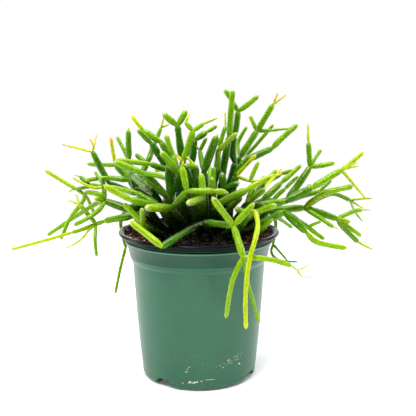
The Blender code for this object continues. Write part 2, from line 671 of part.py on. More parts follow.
def spread_roots(roots):
    """Move the roots apart until a hole in the soil fits round each."""
    places = [Vector((x, y)) for x, y in roots]
    for _ in range(200):
        for i, first in enumerate(places):
            for second in places[i + 1:]:
                apart = second - first
                if apart.length < ROOT_SPACING:
                    push = apart.normalized() * (ROOT_SPACING - apart.length) / 2.0
                    first -= push
                    second += push
        for place in places:
            if place.length > ROOT_REACH:
                place *= ROOT_REACH / place.length
    return places


def grow_seen_stem(plant, name, root, segments):
    """One stem that the photograph shows, from its table of segments."""
    top = Vector((root.x, root.y, SOIL_TOP + 3.0))
    ends = {"root": plant.joint(top, None)}
    for label, parent, width, hue, pixels in segments:
        joints = [ends[parent]]
        places = [seen(*pixel) for pixel in pixels]
        start = plant.points[ends[parent]]
        elbows = round((places[0] - start).length / ELBOW_LENGTH) if parent == "root" else 0
        joints += [plant.joint(elbow, "free") for elbow in arched(start, places[0], elbows)]
        for place, pixel in zip(places, pixels):
            joints.append(plant.joint(place, viewpoint_ray(pixel[0], pixel[1]).normalized()))
        plant.segment(name, joints, width, hue)
        ends[label] = joints[-1]


def grow_back_stem(plant, name, root, draw):
    """One stem behind those that the photograph shows: it rises, forks and leans out toward the back."""
    base = Vector((root.x, root.y, SOIL_TOP + 3.0))
    lean = math.atan2(root.y + 10.0, root.x * 1.3) + draw.uniform(-0.35, 0.35)

    def link(start, heading, climb, length, width, hue):
        step = Vector((math.cos(heading) * math.cos(climb), math.sin(heading) * math.cos(climb),
                       math.sin(climb))) * length
        end = plant.joint(plant.points[start] + step, "free")
        plant.segment(name, (start, end), width, hue)
        return end

    foot = plant.joint(base, None)
    knee = link(foot, lean, draw.uniform(1.0, 1.3), draw.uniform(17.0, 21.0), 4.6, 0.0)
    fork = link(knee, lean, draw.uniform(0.7, 1.0), draw.uniform(16.0, 20.0), 4.4, 0.1)
    for side in (-1.0, 1.0):
        turn = lean + side * draw.uniform(0.5, 0.9)
        climb = draw.uniform(0.0, 0.7)
        arm = link(fork, turn, climb, draw.uniform(13.0, 17.0), 3.8, 0.3)
        link(arm, turn + draw.uniform(-0.4, 0.4), climb - draw.uniform(0.2, 0.7),
             draw.uniform(10.0, 15.0), 3.0, 0.6)
    link(fork, lean, draw.uniform(0.5, 1.1), draw.uniform(12.0, 16.0), 3.4, 0.5)


def closest_on_tubes(a0, a1, b0, b1):
    """Parameters of the nearest points of many pairs of straight tubes."""
    u = a1 - a0
    v = b1 - b0
    w = a0 - b0
    uu = np.sum(u * u, axis=1)
    vv = np.sum(v * v, axis=1)
    uv = np.sum(u * v, axis=1)
    uw = np.sum(u * w, axis=1)
    vw = np.sum(v * w, axis=1)
    denominator = uu * vv - uv * uv
    s = np.where(denominator > 1e-6, (uv * vw - vv * uw) / np.maximum(denominator, 1e-6), 0.5)
    s = np.clip(s, 0.0, 1.0)
    t = np.clip((uv * s + vw) / vv, 0.0, 1.0)
    s = np.clip((uv * t - uw) / uu, 0.0, 1.0)
    return s, t


def rim_normal_and_gap(points):
    """Direction and distance from the pot's upper wall and lip to each point."""
    wall = [(RIDGE_RADIUS, POT_HEIGHT - LIP_HALF), (LIP_RADIUS - LIP_HALF, POT_HEIGHT - LIP_HALF),
            (RIDGE_RADIUS - LIP_HALF, RIDGE_HEIGHT), (WALL_TOP_RADIUS - LIP_HALF, COLLAR_FOOT_HEIGHT),
            (WALL_FOOT_RADIUS - LIP_HALF, 0.0)]
    out = np.hypot(points[:, 0], points[:, 1])
    flat = np.stack([out, points[:, 2]], axis=1)
    best_gap = np.full(len(points), 1e9)
    best_way = np.zeros((len(points), 2))
    for (r0, z0), (r1, z1) in zip(wall, wall[1:]):
        start = np.array([r0, z0])
        along = np.array([r1 - r0, z1 - z0])
        t = np.clip((flat - start) @ along / (along @ along), 0.0, 1.0)
        way = flat - (start + t[:, None] * along)
        gap = np.hypot(way[:, 0], way[:, 1])
        better = gap < best_gap
        best_gap = np.where(better, gap, best_gap)
        best_way = np.where(better[:, None], way, best_way)
    best_way /= np.maximum(best_gap, 1e-6)[:, None]
    radial = points[:, :2] / np.maximum(out, 1e-6)[:, None]
    way = np.stack([radial[:, 0] * best_way[:, 0], radial[:, 1] * best_way[:, 0], best_way[:, 1]], axis=1)
    return way, best_gap - LIP_HALF


def relax(plant):
    """Move the joints until no stem touches another stem, the pot's wall or the soil.

    A joint read from the photograph only moves along its line of sight, so the picture stays as it is.
    """
    points = np.array([tuple(point) for point in plant.points])
    free = np.array([1.0 if isinstance(way, str) else 0.0 for way in plant.ways])
    sight = np.array([(0.0, 0.0, 0.0) if way is None or isinstance(way, str) else tuple(way)
                      for way in plant.ways])
    fixed = np.array([1.0 if way is None else 0.0 for way in plant.ways])
    starts = np.array([tube[0] for tube in plant.tubes])
    ends = np.array([tube[1] for tube in plant.tubes])
    radii = np.array([tube[2] for tube in plant.tubes])
    stems = [tube[3] for tube in plant.tubes]
    names = {name: i for i, name in enumerate(dict.fromkeys(stems))}
    owner = np.array([names[stem] for stem in stems])
    first, second = np.triu_indices(len(radii), 1)
    apart = owner[first] != owner[second]
    first, second = first[apart], second[apart]

    def push(moves, counts, joints, shares, way, amount):
        along = np.sum(sight[joints] * way, axis=1)
        held = np.sign(along + 1e-9) * np.maximum(np.abs(along), 0.3)
        by_sight = sight[joints] * (np.clip(amount * shares / held, -1.2, 1.2))[:, None]
        by_free = way * (amount * shares)[:, None] * free[joints][:, None]
        np.add.at(moves, joints, by_sight + by_free)
        np.add.at(counts, joints, (shares > 0.05) * 1.0)

    for turn in range(RELAX_ROUNDS):
        if turn % 15 == 0:
            s, t = closest_on_tubes(points[starts[first]], points[ends[first]],
                                    points[starts[second]], points[ends[second]])
            a = points[starts[first]] * (1 - s)[:, None] + points[ends[first]] * s[:, None]
            b = points[starts[second]] * (1 - t)[:, None] + points[ends[second]] * t[:, None]
            near = np.linalg.norm(b - a, axis=1) < radii[first] + radii[second] + 6.0
            i, j = first[near], second[near]
        s, t = closest_on_tubes(points[starts[i]], points[ends[i]], points[starts[j]], points[ends[j]])
        a = points[starts[i]] * (1 - s)[:, None] + points[ends[i]] * s[:, None]
        b = points[starts[j]] * (1 - t)[:, None] + points[ends[j]] * t[:, None]
        way = b - a
        distance = np.linalg.norm(way, axis=1)
        way /= np.maximum(distance, 1e-6)[:, None]
        lack = radii[i] + radii[j] + STEM_CLEARANCE - distance
        close = lack > 0.0
        moves = np.zeros_like(points)
        counts = np.zeros(len(points))
        i2, j2, s2, t2, way2 = i[close], j[close], s[close], t[close], way[close]
        amount = lack[close] * 0.6
        push(moves, counts, starts[i2], 1 - s2, -way2, amount)
        push(moves, counts, ends[i2], s2, -way2, amount)
        push(moves, counts, starts[j2], 1 - t2, way2, amount)
        push(moves, counts, ends[j2], t2, way2, amount)
        worst = lack.max()
        for share in np.linspace(0.0, 1.0, 9):
            at = points[starts] * (1 - share) + points[ends] * share
            normal, gap = rim_normal_and_gap(at)
            missing = radii + POT_CLEARANCE - gap
            hit = missing > 0.0
            shares = np.full(hit.sum(), share)
            push(moves, counts, starts[hit], 1 - shares, normal[hit], missing[hit] * 0.8)
            push(moves, counts, ends[hit], shares, normal[hit], missing[hit] * 0.8)
            low = SOIL_TOP + SOIL_CROWN + radii + 0.4 - at[:, 2]
            inside = np.hypot(at[:, 0], at[:, 1]) < LIP_RADIUS - 6.0
            sunk = (low > 0.0) & inside
            shares = np.full(sunk.sum(), share)
            rise = np.tile((0.0, 0.0, 1.0), (sunk.sum(), 1))
            push(moves, counts, starts[sunk], 1 - shares, rise, low[sunk] * 0.5)
            push(moves, counts, ends[sunk], shares, rise, low[sunk] * 0.5)
        points += moves * (1.0 - fixed)[:, None] / np.maximum(counts, 1.0)[:, None] ** 0.5
        if worst < 0.02 and turn > 60:
            break
    plant.points = [Vector(point) for point in points]
    return worst


def link_rings(joints, width):
    """Centres and radii of the rings along one link: a thin neck, a full body and a rounded tip."""
    radius = width / 2.0
    line = [Vector(point) for point in joints]
    first = line[0] + (line[1] - line[0]).normalized() * -0.3 * radius
    last_way = (line[-1] - line[-2]).normalized()
    length = (line[-1] - line[-2]).length
    shoulder = max(length - radius * 1.6, length * 0.6)
    rings = [(first, 0.66 * radius)]
    if length > SHORT_LINK and len(line) == 2:
        rings.append((line[0] + (line[1] - line[0]) * 0.16, radius))
    rings += [(point, radius) for point in line[1:-1]]
    rings += [(line[-2] + last_way * shoulder, radius), (line[-1] + last_way * 0.25 * radius, 0.5 * radius)]
    return rings


def tube(name, rings, level, finish):
    """A closed tube through rings of (centre, radius) in mm."""
    curve = bpy.data.curves.new(name, "CURVE")
    curve.dimensions = "3D"
    curve.bevel_depth = MM
    curve.bevel_resolution = level
    curve.use_fill_caps = True
    spline = curve.splines.new("POLY")
    spline.points.add(len(rings) - 1)
    for point, (centre, radius) in zip(spline.points, rings):
        point.co = (*(centre * MM), 1.0)
        point.radius = radius
    thing = bpy.data.objects.new(name, curve)
    bpy.context.scene.collection.objects.link(thing)
    depsgraph = bpy.context.evaluated_depsgraph_get()
    mesh = bpy.data.meshes.new_from_object(thing.evaluated_get(depsgraph))
    bpy.data.objects.remove(thing, do_unlink=True)
    bpy.data.curves.remove(curve)
    bm = bmesh.new()
    bm.from_mesh(mesh)
    bmesh.ops.remove_doubles(bm, verts=bm.verts, dist=0.000001)
    bmesh.ops.recalc_face_normals(bm, faces=bm.faces)
    bm.to_mesh(mesh)
    bm.free()
    mesh.materials.clear()
    mesh.materials.append(finish)
    return bpy.data.objects.new(name, mesh)


def make_stem(name, plant, group, pieces, shades):
    """One stem as one solid: a trunk that stands in the soil, with every other link fused to it."""
    links = [link for link in plant.segments if link[0] == name]
    hue = sum(link[3] for link in links) / len(links)
    finish = shades[min(int(hue * len(shades)), len(shades) - 1)]
    root = plant.points[links[0][1][0]]
    foot = Vector((root.x, root.y, SOIL_TOP - HOLE_DEPTH + PEG_SEAT_GAP))
    trunk = [(foot, PEG_RADIUS), (root, PEG_RADIUS)]
    trunk += link_rings([plant.points[i] for i in links[0][1]], links[0][2])[1:]
    stem = tube(name, trunk, TUBE_SIDES_LEVEL, finish)
    group.objects.link(stem)
    for _, joints, width, _ in links[1:]:
        level = TUBE_SIDES_LEVEL if width > SLIM_WIDTH else 0
        rings = link_rings([plant.points[i] for i in joints], width)
        pieces.objects.link(tube(name + "_link", rings, level, finish))
    join = stem.modifiers.new("join", "BOOLEAN")
    join.operation = "UNION"
    join.operand_type = "COLLECTION"
    join.collection = pieces
    join.solver = "EXACT"
    apply_modifiers(stem)
    remove_objects(pieces)
    return stem


def green_shades():
    """Materials from the deep green of old stems to the yellow green of young ones."""
    colours = ((0.020, 0.070, 0.008), (0.045, 0.150, 0.012), (0.095, 0.260, 0.016), (0.330, 0.470, 0.020),
               (0.600, 0.620, 0.030))
    return [material("stem_green_%d" % i, colour, 0.42) for i, colour in enumerate(colours)]


def centre_on_floor(things):
    """Put everything under one empty, so that the origin is under the middle of the whole part."""
    corners = [thing.matrix_world @ Vector(corner) for thing in things for corner in thing.bound_box]
    low = Vector(tuple(min(corner[axis] for corner in corners) for axis in range(3)))
    high = Vector(tuple(max(corner[axis] for corner in corners) for axis in range(3)))
    middle = bpy.data.objects.new("plant_origin", None)
    middle.location = (-(low.x + high.x) / 2.0, -(low.y + high.y) / 2.0, -low.z)
    bpy.context.scene.collection.objects.link(middle)
    for thing in things:
        thing.parent = middle


def main():
    clear_scene()
    group = collection("mistletoe_cactus")
    cutters = collection("cutters")
    pieces = collection("link_pieces")
    draw = random.Random(BACK_SEED)
    names = list(STEMS) + ["hidden_back_%d" % i for i in range(len(BACK_ROOTS))]
    roots = spread_roots([STEMS[name][0] for name in STEMS] + list(BACK_ROOTS))
    plant = Plant()
    for name, root in zip(names, roots):
        if name in STEMS:
            grow_seen_stem(plant, name, root, STEMS[name][1])
        else:
            grow_back_stem(plant, name, root, draw)
    relax(plant)
    shades = green_shades()
    parts = [make_pot(group, cutters), make_soil(roots, group, cutters)]
    parts += [make_stem(name, plant, group, pieces, shades) for name in names]
    bpy.context.view_layer.update()
    centre_on_floor(parts)


main()
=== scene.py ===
"""The looks of the mistletoe cactus in its nursery pot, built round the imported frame.

Lengths in the stems, pot and soil are mm from the pot's axis and the floor, as in part.py, and become
metres in the frame when a mesh is made.
"""
import json
import math
import random

import bmesh
import bpy
import numpy as np
from mathutils import Matrix, Vector, noise

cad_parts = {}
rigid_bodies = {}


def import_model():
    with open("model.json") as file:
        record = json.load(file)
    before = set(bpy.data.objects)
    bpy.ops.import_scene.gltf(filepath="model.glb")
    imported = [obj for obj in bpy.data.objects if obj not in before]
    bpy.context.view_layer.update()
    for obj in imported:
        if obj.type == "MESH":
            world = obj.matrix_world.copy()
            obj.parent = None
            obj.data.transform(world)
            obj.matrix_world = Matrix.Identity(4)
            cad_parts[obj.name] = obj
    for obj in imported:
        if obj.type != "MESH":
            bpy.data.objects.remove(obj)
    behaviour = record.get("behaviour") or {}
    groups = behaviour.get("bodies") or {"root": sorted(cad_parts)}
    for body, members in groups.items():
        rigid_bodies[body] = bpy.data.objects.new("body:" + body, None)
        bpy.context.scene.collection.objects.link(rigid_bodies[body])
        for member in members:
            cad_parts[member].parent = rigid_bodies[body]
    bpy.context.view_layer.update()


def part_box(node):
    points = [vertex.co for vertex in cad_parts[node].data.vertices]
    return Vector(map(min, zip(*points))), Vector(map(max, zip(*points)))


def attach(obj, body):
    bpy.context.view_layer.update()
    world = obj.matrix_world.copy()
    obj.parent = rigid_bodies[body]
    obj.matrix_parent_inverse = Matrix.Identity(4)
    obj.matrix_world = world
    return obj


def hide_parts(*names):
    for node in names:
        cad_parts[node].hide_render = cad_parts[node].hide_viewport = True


MM = 0.001

# Pot, with part.py's sizes
POT_HEIGHT = 99.4
LIP_RADIUS = 54.0
LIP_BAND = 2.0
LIP_HALF = 1.1
RIDGE_RADIUS = 50.0
RIDGE_HEIGHT = 93.5
COLLAR_RADIUS = 47.5
COLLAR_FOOT_RADIUS = 46.4
COLLAR_FOOT_HEIGHT = 81.5
WALL_TOP_RADIUS = 44.6
WALL_FOOT_RADIUS = 38.8
SHOULDER_HEIGHT = 5.0
FOOT_RADIUS = 33.4
WALL = 1.0
FLOOR_HEIGHT = 7.0
FLOOR_THICKNESS = 1.2

# Where the pot is finer than in part.py
NECK_RADIUS = 49.1
POT_SIDES = 160
SHARP_DEGREES = 34.0

# Drain notches between the feet: centre angle from the viewer's side toward +X, and width, in degrees
NOTCHES = ((-37.0, 25.0), (62.0, 25.0), (150.0, 25.0), (-125.0, 25.0))
NOTCH_HEIGHT = 5.6
SMALL_NOTCHES = (-6.0, 15.0, 33.0)
SMALL_NOTCH_RADIUS = 2.6

# Crumbs on the wall: angles from the viewer's side, heights in mm, count, sizes in mm
DIRT_PATCHES = (
    (14.0, 44.0, 13.0, 25.0, 40, (0.15, 0.36)),
    (-13.0, -8.0, 12.5, 18.5, 7, (0.25, 0.45)),
    (-17.0, 3.0, 5.0, 8.0, 8, (0.40, 0.80)),
    (40.0, 43.0, 15.0, 17.0, 1, (0.80, 0.90)),
    (-70.0, 60.0, 6.0, 40.0, 30, (0.08, 0.18)),
)

# Soil, banked up against the lip
SOIL_TOP = 95.4
SOIL_CROWN = 0.6
SOIL_BANK = 2.7
SOIL_EDGE_RADIUS = 50.3
SOIL_RINGS = 58
SOIL_SIDES = 180
SOIL_WALL_GAP = 0.35
SOIL_FOOT = 7.4
CHIP_COUNT = 1150
CHIP_REACH = 49.5
CHIP_SIZES = (0.5, 0.7, 0.9, 1.2, 1.7)
PEG_RADIUS = 2.0
STEM_FOOT = 3.0
ROOT_SPACING = 6.4
ROOT_REACH = 41.0

# The viewpoint of the photograph
VIEW_DISTANCE = 500.0
VIEW_HEIGHT = 197.5
VIEW_PITCH = 0.1653
VIEW_YAW = 0.0123
FOCAL_PIXELS = 755.0
PICTURE_CENTRE = 208.0
PICTURE_SIZE = 416.0
SENSOR = 36.0

# Stems
WIDTH_SCALE = 1.1
STEM_CLEARANCE = 0.35
POT_CLEARANCE = 0.8
ELBOW_LENGTH = 24.0

# How the stems are moved apart: rounds at most, rounds between searches for near pairs, how near in mm
# a pair counts, samples along each tube, and the overlap in mm that ends it after a least number
RELAX_ROUNDS = 900
RELAX_LEAST = 60
SEARCH_EVERY = 15
SEARCH_REACH = 6.0
TUBE_SAMPLES = 9
OVERLAP_LEFT = 0.02

# Roots of the stems that stand hidden behind the others
BACK_SEED = 11
BACK_ROOTS = ((-30.0, 12.0), (-6.0, 30.0), (8.0, 32.0), (31.0, 19.0), (-17.0, 33.0))

# Skin of the stems: links under the slim width taper, and past the young hue they have no areoles
RING_STEP = 0.8
STEM_SIDES = 14
SLIM_SIDES = 10
SLIM_WIDTH = 2.3
AREOLE_STEP = 3.4
YOUNG = 0.8

# Where shade is painted on the stems down among the others: up to this height over the soil, and this far
# out
SHADE_FROM = 9.0
SHADE_HEIGHT = 34.0
SHADE_REACH = 36.0
SHADE_EDGE = 13.0
SHADE_MOST = 0.96
LOOK_SEED = 5

# Curled root, with its start, middle and reach in pixels of the photo
CURL_START = (315.0, 189.5)
CURL_MIDDLE = (309.2, 186.1)
CURL_REACH = 1.9
CURL_STEPS = 10
CURL_TOWARD = 8.0
CURL_WIDTH = 0.7
CURL_HUE = 0.7

# Light from all round: on matt surfaces, and in reflections from the front and from behind
FILL_STRENGTH = 0.12
GLOSS_FILL = 0.03
BACK_GLOSS = 1.5
FLOOR_GLOW = 0.09
FLOOR_HALF = 0.6

# Stems by name: the root in mm from the pot's axis, then the segments, each with its label, the label
# of the one it grows from, its width in mm, its hue from 0 dark to 1 yellow tip, and its joints, each
# as pixel across, pixel down and mm toward the viewer
STEMS = {
    "low_left": [(-27, -3),
        ("a", "root", 4.8, 0.10, (134, 216, 4)),
        ("b", "a", 4.4, 0.30, (105, 221, 0)),
        ("c", "b", 3.0, 0.40, (96, 224, -2)),
        ("d", "c", 2.9, 0.50, (72, 232.5, -6)),
        ("e", "d", 2.2, 0.85, (40, 241.5, -10), (11.5, 249.5, -14)),
        ("f", "c", 2.3, 0.50, (95, 240, 4), (96.5, 256, 6)),
        ("g", "c", 1.7, 0.88, (88, 231, 0), (80, 240, 2), (66, 248.5, 4)),
        ("h", "c", 3.0, 0.45, (80, 205, 2)),
        ("i", "h", 1.3, 0.92, (76, 194, 0)),
        ("j", "h", 1.3, 0.92, (68.5, 200.5, 4)),
    ],
    "left_main": [(-20, 7),
        ("a", "root", 5.2, 0.02, (135, 212, -6)),
        ("b", "a", 5.2, 0.10, (104.5, 201, -10)),
        ("c", "b", 3.2, 0.40, (104, 187, -12)),
        ("d", "b", 2.8, 0.72, (95, 198.5, -2)),
        ("e", "b", 3.2, 0.45, (100, 195, -8), (86, 192, -12)),
        ("f", "e", 2.7, 0.55, (82, 203, -12), (70, 219, -12), (61, 239, -10)),
        ("g", "b", 3.0, 0.50, (95, 204.5, -16), (78, 215, -20), (48, 235, -26)),
        ("h", "b", 3.0, 0.45, (100, 209, -2), (88, 218, 2), (74.5, 225, 4)),
        ("k", "c", 2.0, 0.90, (95, 188, -9), (84, 184, -7), (73, 178, -5)),
        ("l", "c", 2.6, 0.45, (90, 185, -18)),
        ("m", "l", 3.0, 0.30, (80, 176.5, -20)),
        ("n", "m", 1.2, 0.98, (74.5, 175, -20)),
        ("o", "c", 2.2, 0.40, (95, 172, -18)),
        ("p", "c", 2.6, 0.30, (102, 177, -6)),
        ("q", "c", 2.4, 0.35, (90, 187, -22), (76, 189, -26)),
        ("r", "q", 1.2, 0.98, (69, 191.5, -26)),
        ("s", "q", 2.7, 0.75, (45.5, 170.5, -30)),
        ("t", "q", 2.3, 0.50, (86, 197, -26), (94, 213, -24)),
    ],
    "left_high": [(-13, 21),
        ("a", "root", 4.8, 0.00, (137, 194, -24)),
        ("b", "a", 4.2, 0.10, (109, 183, -26)),
        ("c", "b", 4.3, 0.12, (92.5, 152, -28)),
        ("d", "c", 1.8, 0.92, (62, 144.5, -30)),
        ("e", "c", 1.3, 0.96, (93.5, 146, -24), (90, 139, -22)),
        ("f", "c", 1.7, 0.95, (96.5, 134.5, -34)),
        ("g", "a", 3.2, 0.15, (138.5, 175, -18)),
    ],
    "left_back": [(-20, 28),
        ("a", "root", 4.6, 0.00, (134, 184, -36)),
        ("b", "a", 4.4, 0.15, (115.5, 165, -38)),
        ("c", "b", 3.1, 0.45, (88, 164, -44)),
        ("d", "b", 2.6, 0.90, (111, 138, -36)),
    ],
    "left_cross": [(-17, -7),
        ("a", "root", 5.0, 0.05, (166, 196, 18)),
        ("b", "a", 5.2, 0.20, (143, 173, 20)),
        ("c", "b", 4.2, 0.50, (115.5, 162, 20)),
        ("d", "b", 3.4, 0.45, (163, 176, 28)),
    ],
    "left_dark": [(-15, 9),
        ("a", "root", 4.8, 0.00, (152, 190, -2)),
        ("b", "a", 4.6, 0.08, (132, 176, -4)),
        ("c", "a", 4.0, 0.15, (143, 172, 2)),
    ],
    "left_low_dark": [(-23, 2),
        ("a", "root", 5.0, 0.00, (148, 208, 8)),
        ("b", "a", 4.6, 0.10, (126, 208, 10)),
        ("c", "a", 3.4, 0.25, (134, 199, 10)),
    ],
    "centre_left_dark": [(-13, 3),
        ("a", "root", 4.8, 0.00, (170, 198, 6)),
        ("b", "a", 5.0, 0.02, (168, 165, 4)),
        ("c", "a", 4.6, 0.02, (179, 172, 0)),
    ],
    "left_reach": [(-9, 5),
        ("a", "root", 4.4, 0.02, (172, 171, 2)),
        ("b", "a", 3.8, 0.20, (150, 164, 4)),
        ("c", "b", 3.2, 0.60, (117, 159.8, 6)),
    ],
    "left_fork": [(-20, 15),
        ("a", "root", 4.6, 0.05, (134, 188, -14)),
        ("b", "a", 4.0, 0.20, (129, 160, -14)),
        ("c", "b", 3.9, 0.25, (128.3, 131, -14)),
        ("d", "c", 1.2, 0.98, (128.6, 127.5, -14)),
        ("e", "b", 2.6, 0.45, (117, 137, -20)),
        ("f", "a", 4.2, 0.20, (147, 164, -22)),
        ("g", "f", 3.5, 0.30, (136, 154.5, -24)),
        ("h", "f", 4.0, 0.35, (154, 146, -28)),
        ("i", "h", 2.8, 0.50, (161, 127.5, -30)),
        ("j", "i", 1.5, 0.93, (164, 117.5, -30)),
        ("k", "i", 1.5, 0.90, (169.5, 124.5, -28)),
        ("l", "a", 2.8, 0.20, (130.5, 171, -6)),
    ],
    "front_low_left": [(-13, -17),
        ("a", "root", 4.8, 0.15, (160, 206, 28)),
        ("b", "a", 5.0, 0.28, (131, 200, 30)),
        ("c", "b", 3.8, 0.62, (105, 185.8, 30)),
        ("d", "a", 3.8, 0.30, (137, 193, 22)),
        ("e", "d", 3.3, 0.55, (109, 187, 16)),
    ],
    "rim_left": [(-24, -17),
        ("a", "root", 4.4, 0.25, (144, 226, 28)),
        ("b", "a", 3.4, 0.55, (124, 204, 28)),
        ("c", "a", 3.4, 0.60, (142, 209, 36)),
    ],
    "front_middle": [(-6, -12),
        ("a", "root", 4.8, 0.15, (172, 208, 26)),
        ("b", "a", 5.0, 0.60, (146.5, 208, 46)),
        ("c", "a", 4.6, 0.30, (187, 191.5, 32)),
        ("d", "c", 4.0, 0.58, (213, 191, 34)),
        ("e", "d", 3.8, 0.66, (226.5, 192.8, 34)),
        ("f", "c", 4.0, 0.50, (182, 167, 30)),
        ("g", "f", 1.7, 0.95, (183.5, 161, 30)),
    ],
    "over_rim": [(0, -20),
        ("a", "root", 4.2, 0.08, (203, 223, 32)),
        ("b", "a", 4.5, 0.02, (162, 246.5, 53)),
        ("c", "b", 3.9, 0.74, (131, 222, 46)),
    ],
    "crown_left": [(-5, 18),
        ("a", "root", 4.8, 0.00, (178, 168, -12)),
        ("b", "a", 4.5, 0.25, (161, 142, -14)),
        ("c", "b", 4.6, 0.50, (144, 131, -16)),
        ("d", "c", 2.6, 0.93, (132, 116, -18)),
    ],
    "crown_dark": [(-12, 11),
        ("a", "root", 4.6, 0.00, (167, 168, -6)),
        ("b", "a", 4.4, 0.05, (151, 143, -4)),
        ("c", "b", 3.4, 0.30, (138, 130, -2)),
    ],
    "crown_fork": [(-3, 8),
        ("a", "root", 4.8, 0.00, (182, 160, -6)),
        ("b", "a", 4.6, 0.06, (177.5, 126, -8)),
        ("c", "b", 4.0, 0.45, (163.5, 114, -8)),
        ("d", "b", 4.0, 0.50, (186, 111, -10)),
    ],
    "crown_front": [(-9, -2),
        ("a", "root", 4.6, 0.05, (178, 172, 14)),
        ("b", "a", 4.6, 0.45, (161.5, 152.5, 18)),
        ("c", "a", 3.6, 0.30, (173, 155, 10)),
        ("d", "c", 3.4, 0.58, (166, 135.5, 10)),
    ],
    "crown_spire": [(0, 0),
        ("a", "root", 4.6, 0.05, (183, 162, 4)),
        ("b", "a", 4.4, 0.50, (193, 131, 4)),
        ("c", "a", 1.9, 0.93, (170, 148.8, -2)),
        ("d", "b", 3.0, 0.55, (203.5, 123.5, 0)),
        ("e", "d", 1.9, 0.90, (217, 118, -2)),
        ("f", "b", 3.2, 0.62, (185.5, 122.5, 4)),
        ("g", "f", 1.8, 0.85, (189.5, 114, 2)),
    ],
    "crown_back": [(3, 14),
        ("a", "root", 5.0, 0.00, (192, 165, -18)),
        ("b", "a", 4.6, 0.02, (195, 140, -20)),
        ("c", "b", 4.2, 0.30, (206.5, 132, -20)),
        ("d", "c", 2.8, 0.52, (216.5, 126, -22)),
    ],
    "middle_dark": [(5, 3),
        ("a", "root", 5.0, 0.02, (204, 172, 2)),
        ("b", "a", 5.2, 0.12, (216.5, 137, 2)),
        ("c", "b", 1.9, 0.98, (218, 133.5, 2)),
        ("d", "a", 3.4, 0.20, (200, 151, -6)),
        ("e", "d", 2.4, 0.35, (206.5, 138, -8)),
        ("f", "d", 1.5, 0.92, (196, 146, -4)),
    ],
    "middle_slim": [(9, 17),
        ("a", "root", 4.2, 0.00, (215, 176, -18)),
        ("b", "a", 3.6, 0.30, (219, 148, -20)),
        ("c", "b", 3.0, 0.42, (225.5, 126.5, -22)),
        ("d", "c", 1.6, 0.97, (225, 112.5, -24)),
    ],
    "tall_spire": [(13, 9),
        ("a", "root", 4.8, 0.00, (221, 182, -4)),
        ("b", "a", 4.8, 0.03, (229, 137, -6)),
        ("c", "b", 3.9, 0.34, (230.5, 110, -7), (232.7, 91, -8)),
    ],
    "tall_fork": [(18, 13),
        ("a", "root", 5.0, 0.00, (235, 163, -14)),
        ("b", "a", 4.8, 0.03, (232.5, 150, -14), (234.5, 136, -14)),
        ("c", "b", 4.2, 0.16, (238, 111.5, -16)),
        ("d", "c", 3.2, 0.40, (225, 90, -18)),
        ("e", "c", 3.4, 0.42, (258, 96, -14)),
    ],
    "right_crown": [(17, 21),
        ("a", "root", 4.6, 0.02, (240, 157, -26)),
        ("b", "a", 4.4, 0.28, (257, 131, -28)),
        ("c", "b", 2.8, 0.50, (250, 116, -32)),
        ("d", "b", 4.0, 0.36, (273, 104.5, -26)),
        ("e", "d", 1.6, 0.97, (278, 92.5, -26)),
        ("f", "d", 1.6, 0.92, (286, 95, -24)),
        ("g", "b", 2.7, 0.42, (271, 130.5, -30)),
        ("h", "g", 2.0, 0.55, (290, 128.5, -32)),
        ("i", "a", 2.7, 0.45, (249, 152, -34), (273, 125, -38)),
        ("j", "a", 2.7, 0.50, (238, 143, -32), (246.5, 127, -34)),
    ],
    "right_arch": [(21, 2),
        ("a", "root", 4.6, 0.02, (236, 176, 2)),
        ("b", "a", 4.4, 0.10, (243, 162, 0)),
        ("c", "b", 4.4, 0.18, (272, 148.5, -2)),
        ("d", "c", 3.7, 0.42, (297, 125, -4)),
        ("e", "a", 2.4, 0.86, (255.5, 155.5, 10)),
        ("f", "a", 2.1, 0.82, (250, 181, 12)),
        ("g", "f", 2.1, 0.82, (269, 182.3, 14)),
        ("h", "f", 2.6, 0.55, (258.5, 162, 10)),
    ],
    "olive_spray": [(11, -9),
        ("a", "root", 4.8, 0.10, (215, 206, 22)),
        ("b", "a", 5.0, 0.38, (247, 190, 26)),
        ("c", "b", 3.6, 0.76, (263, 180.5, 24), (275, 176, 24)),
        ("d", "c", 1.6, 0.95, (282, 173.5, 24)),
        ("e", "c", 1.5, 0.97, (282, 168.5, 22)),
        ("f", "c", 2.0, 0.88, (265, 188, 32)),
    ],
    "right_slim": [(25, 5),
        ("a", "root", 4.4, 0.08, (262, 200, -4)),
        ("b", "a", 4.2, 0.28, (281, 183, -8)),
        ("c", "b", 3.2, 0.50, (300.5, 165.5, -12)),
    ],
    "right_pale": [(23, 13),
        ("a", "root", 4.0, 0.05, (257, 202, -20)),
        ("b", "a", 3.8, 0.20, (273, 200, -24)),
        ("c", "b", 3.3, 0.38, (285, 189, -28)),
        ("d", "c", 2.7, 0.45, (298, 176.5, -30)),
    ],
    "right_flag": [(30, 10),
        ("a", "root", 4.8, 0.04, (287, 200, -14)),
        ("b", "a", 4.7, 0.20, (310, 167, -20)),
        ("c", "b", 3.6, 0.30, (308.5, 142.5, -22)),
        ("d", "c", 1.9, 0.90, (308, 124, -23)),
        ("e", "b", 2.7, 0.45, (321, 150, -28)),
        ("f", "b", 3.4, 0.50, (334, 163, -16)),
    ],
    "right_reach": [(26, -4),
        ("a", "root", 4.6, 0.10, (256, 206, 10)),
        ("b", "a", 4.4, 0.34, (286, 201.5, 8)),
        ("c", "b", 4.8, 0.16, (312, 188, 6)),
        ("d", "c", 4.2, 0.48, (341.5, 170, 4)),
        ("e", "d", 2.8, 0.80, (363, 152.5, 2)),
        ("f", "d", 1.6, 0.90, (357.5, 162, 10)),
        ("g", "d", 1.7, 0.90, (358.5, 166, -4)),
        ("h", "d", 2.0, 0.82, (365, 198, 10)),
        ("i", "b", 3.2, 0.30, (320, 191, -4)),
        ("j", "i", 2.7, 0.40, (331, 180, -6)),
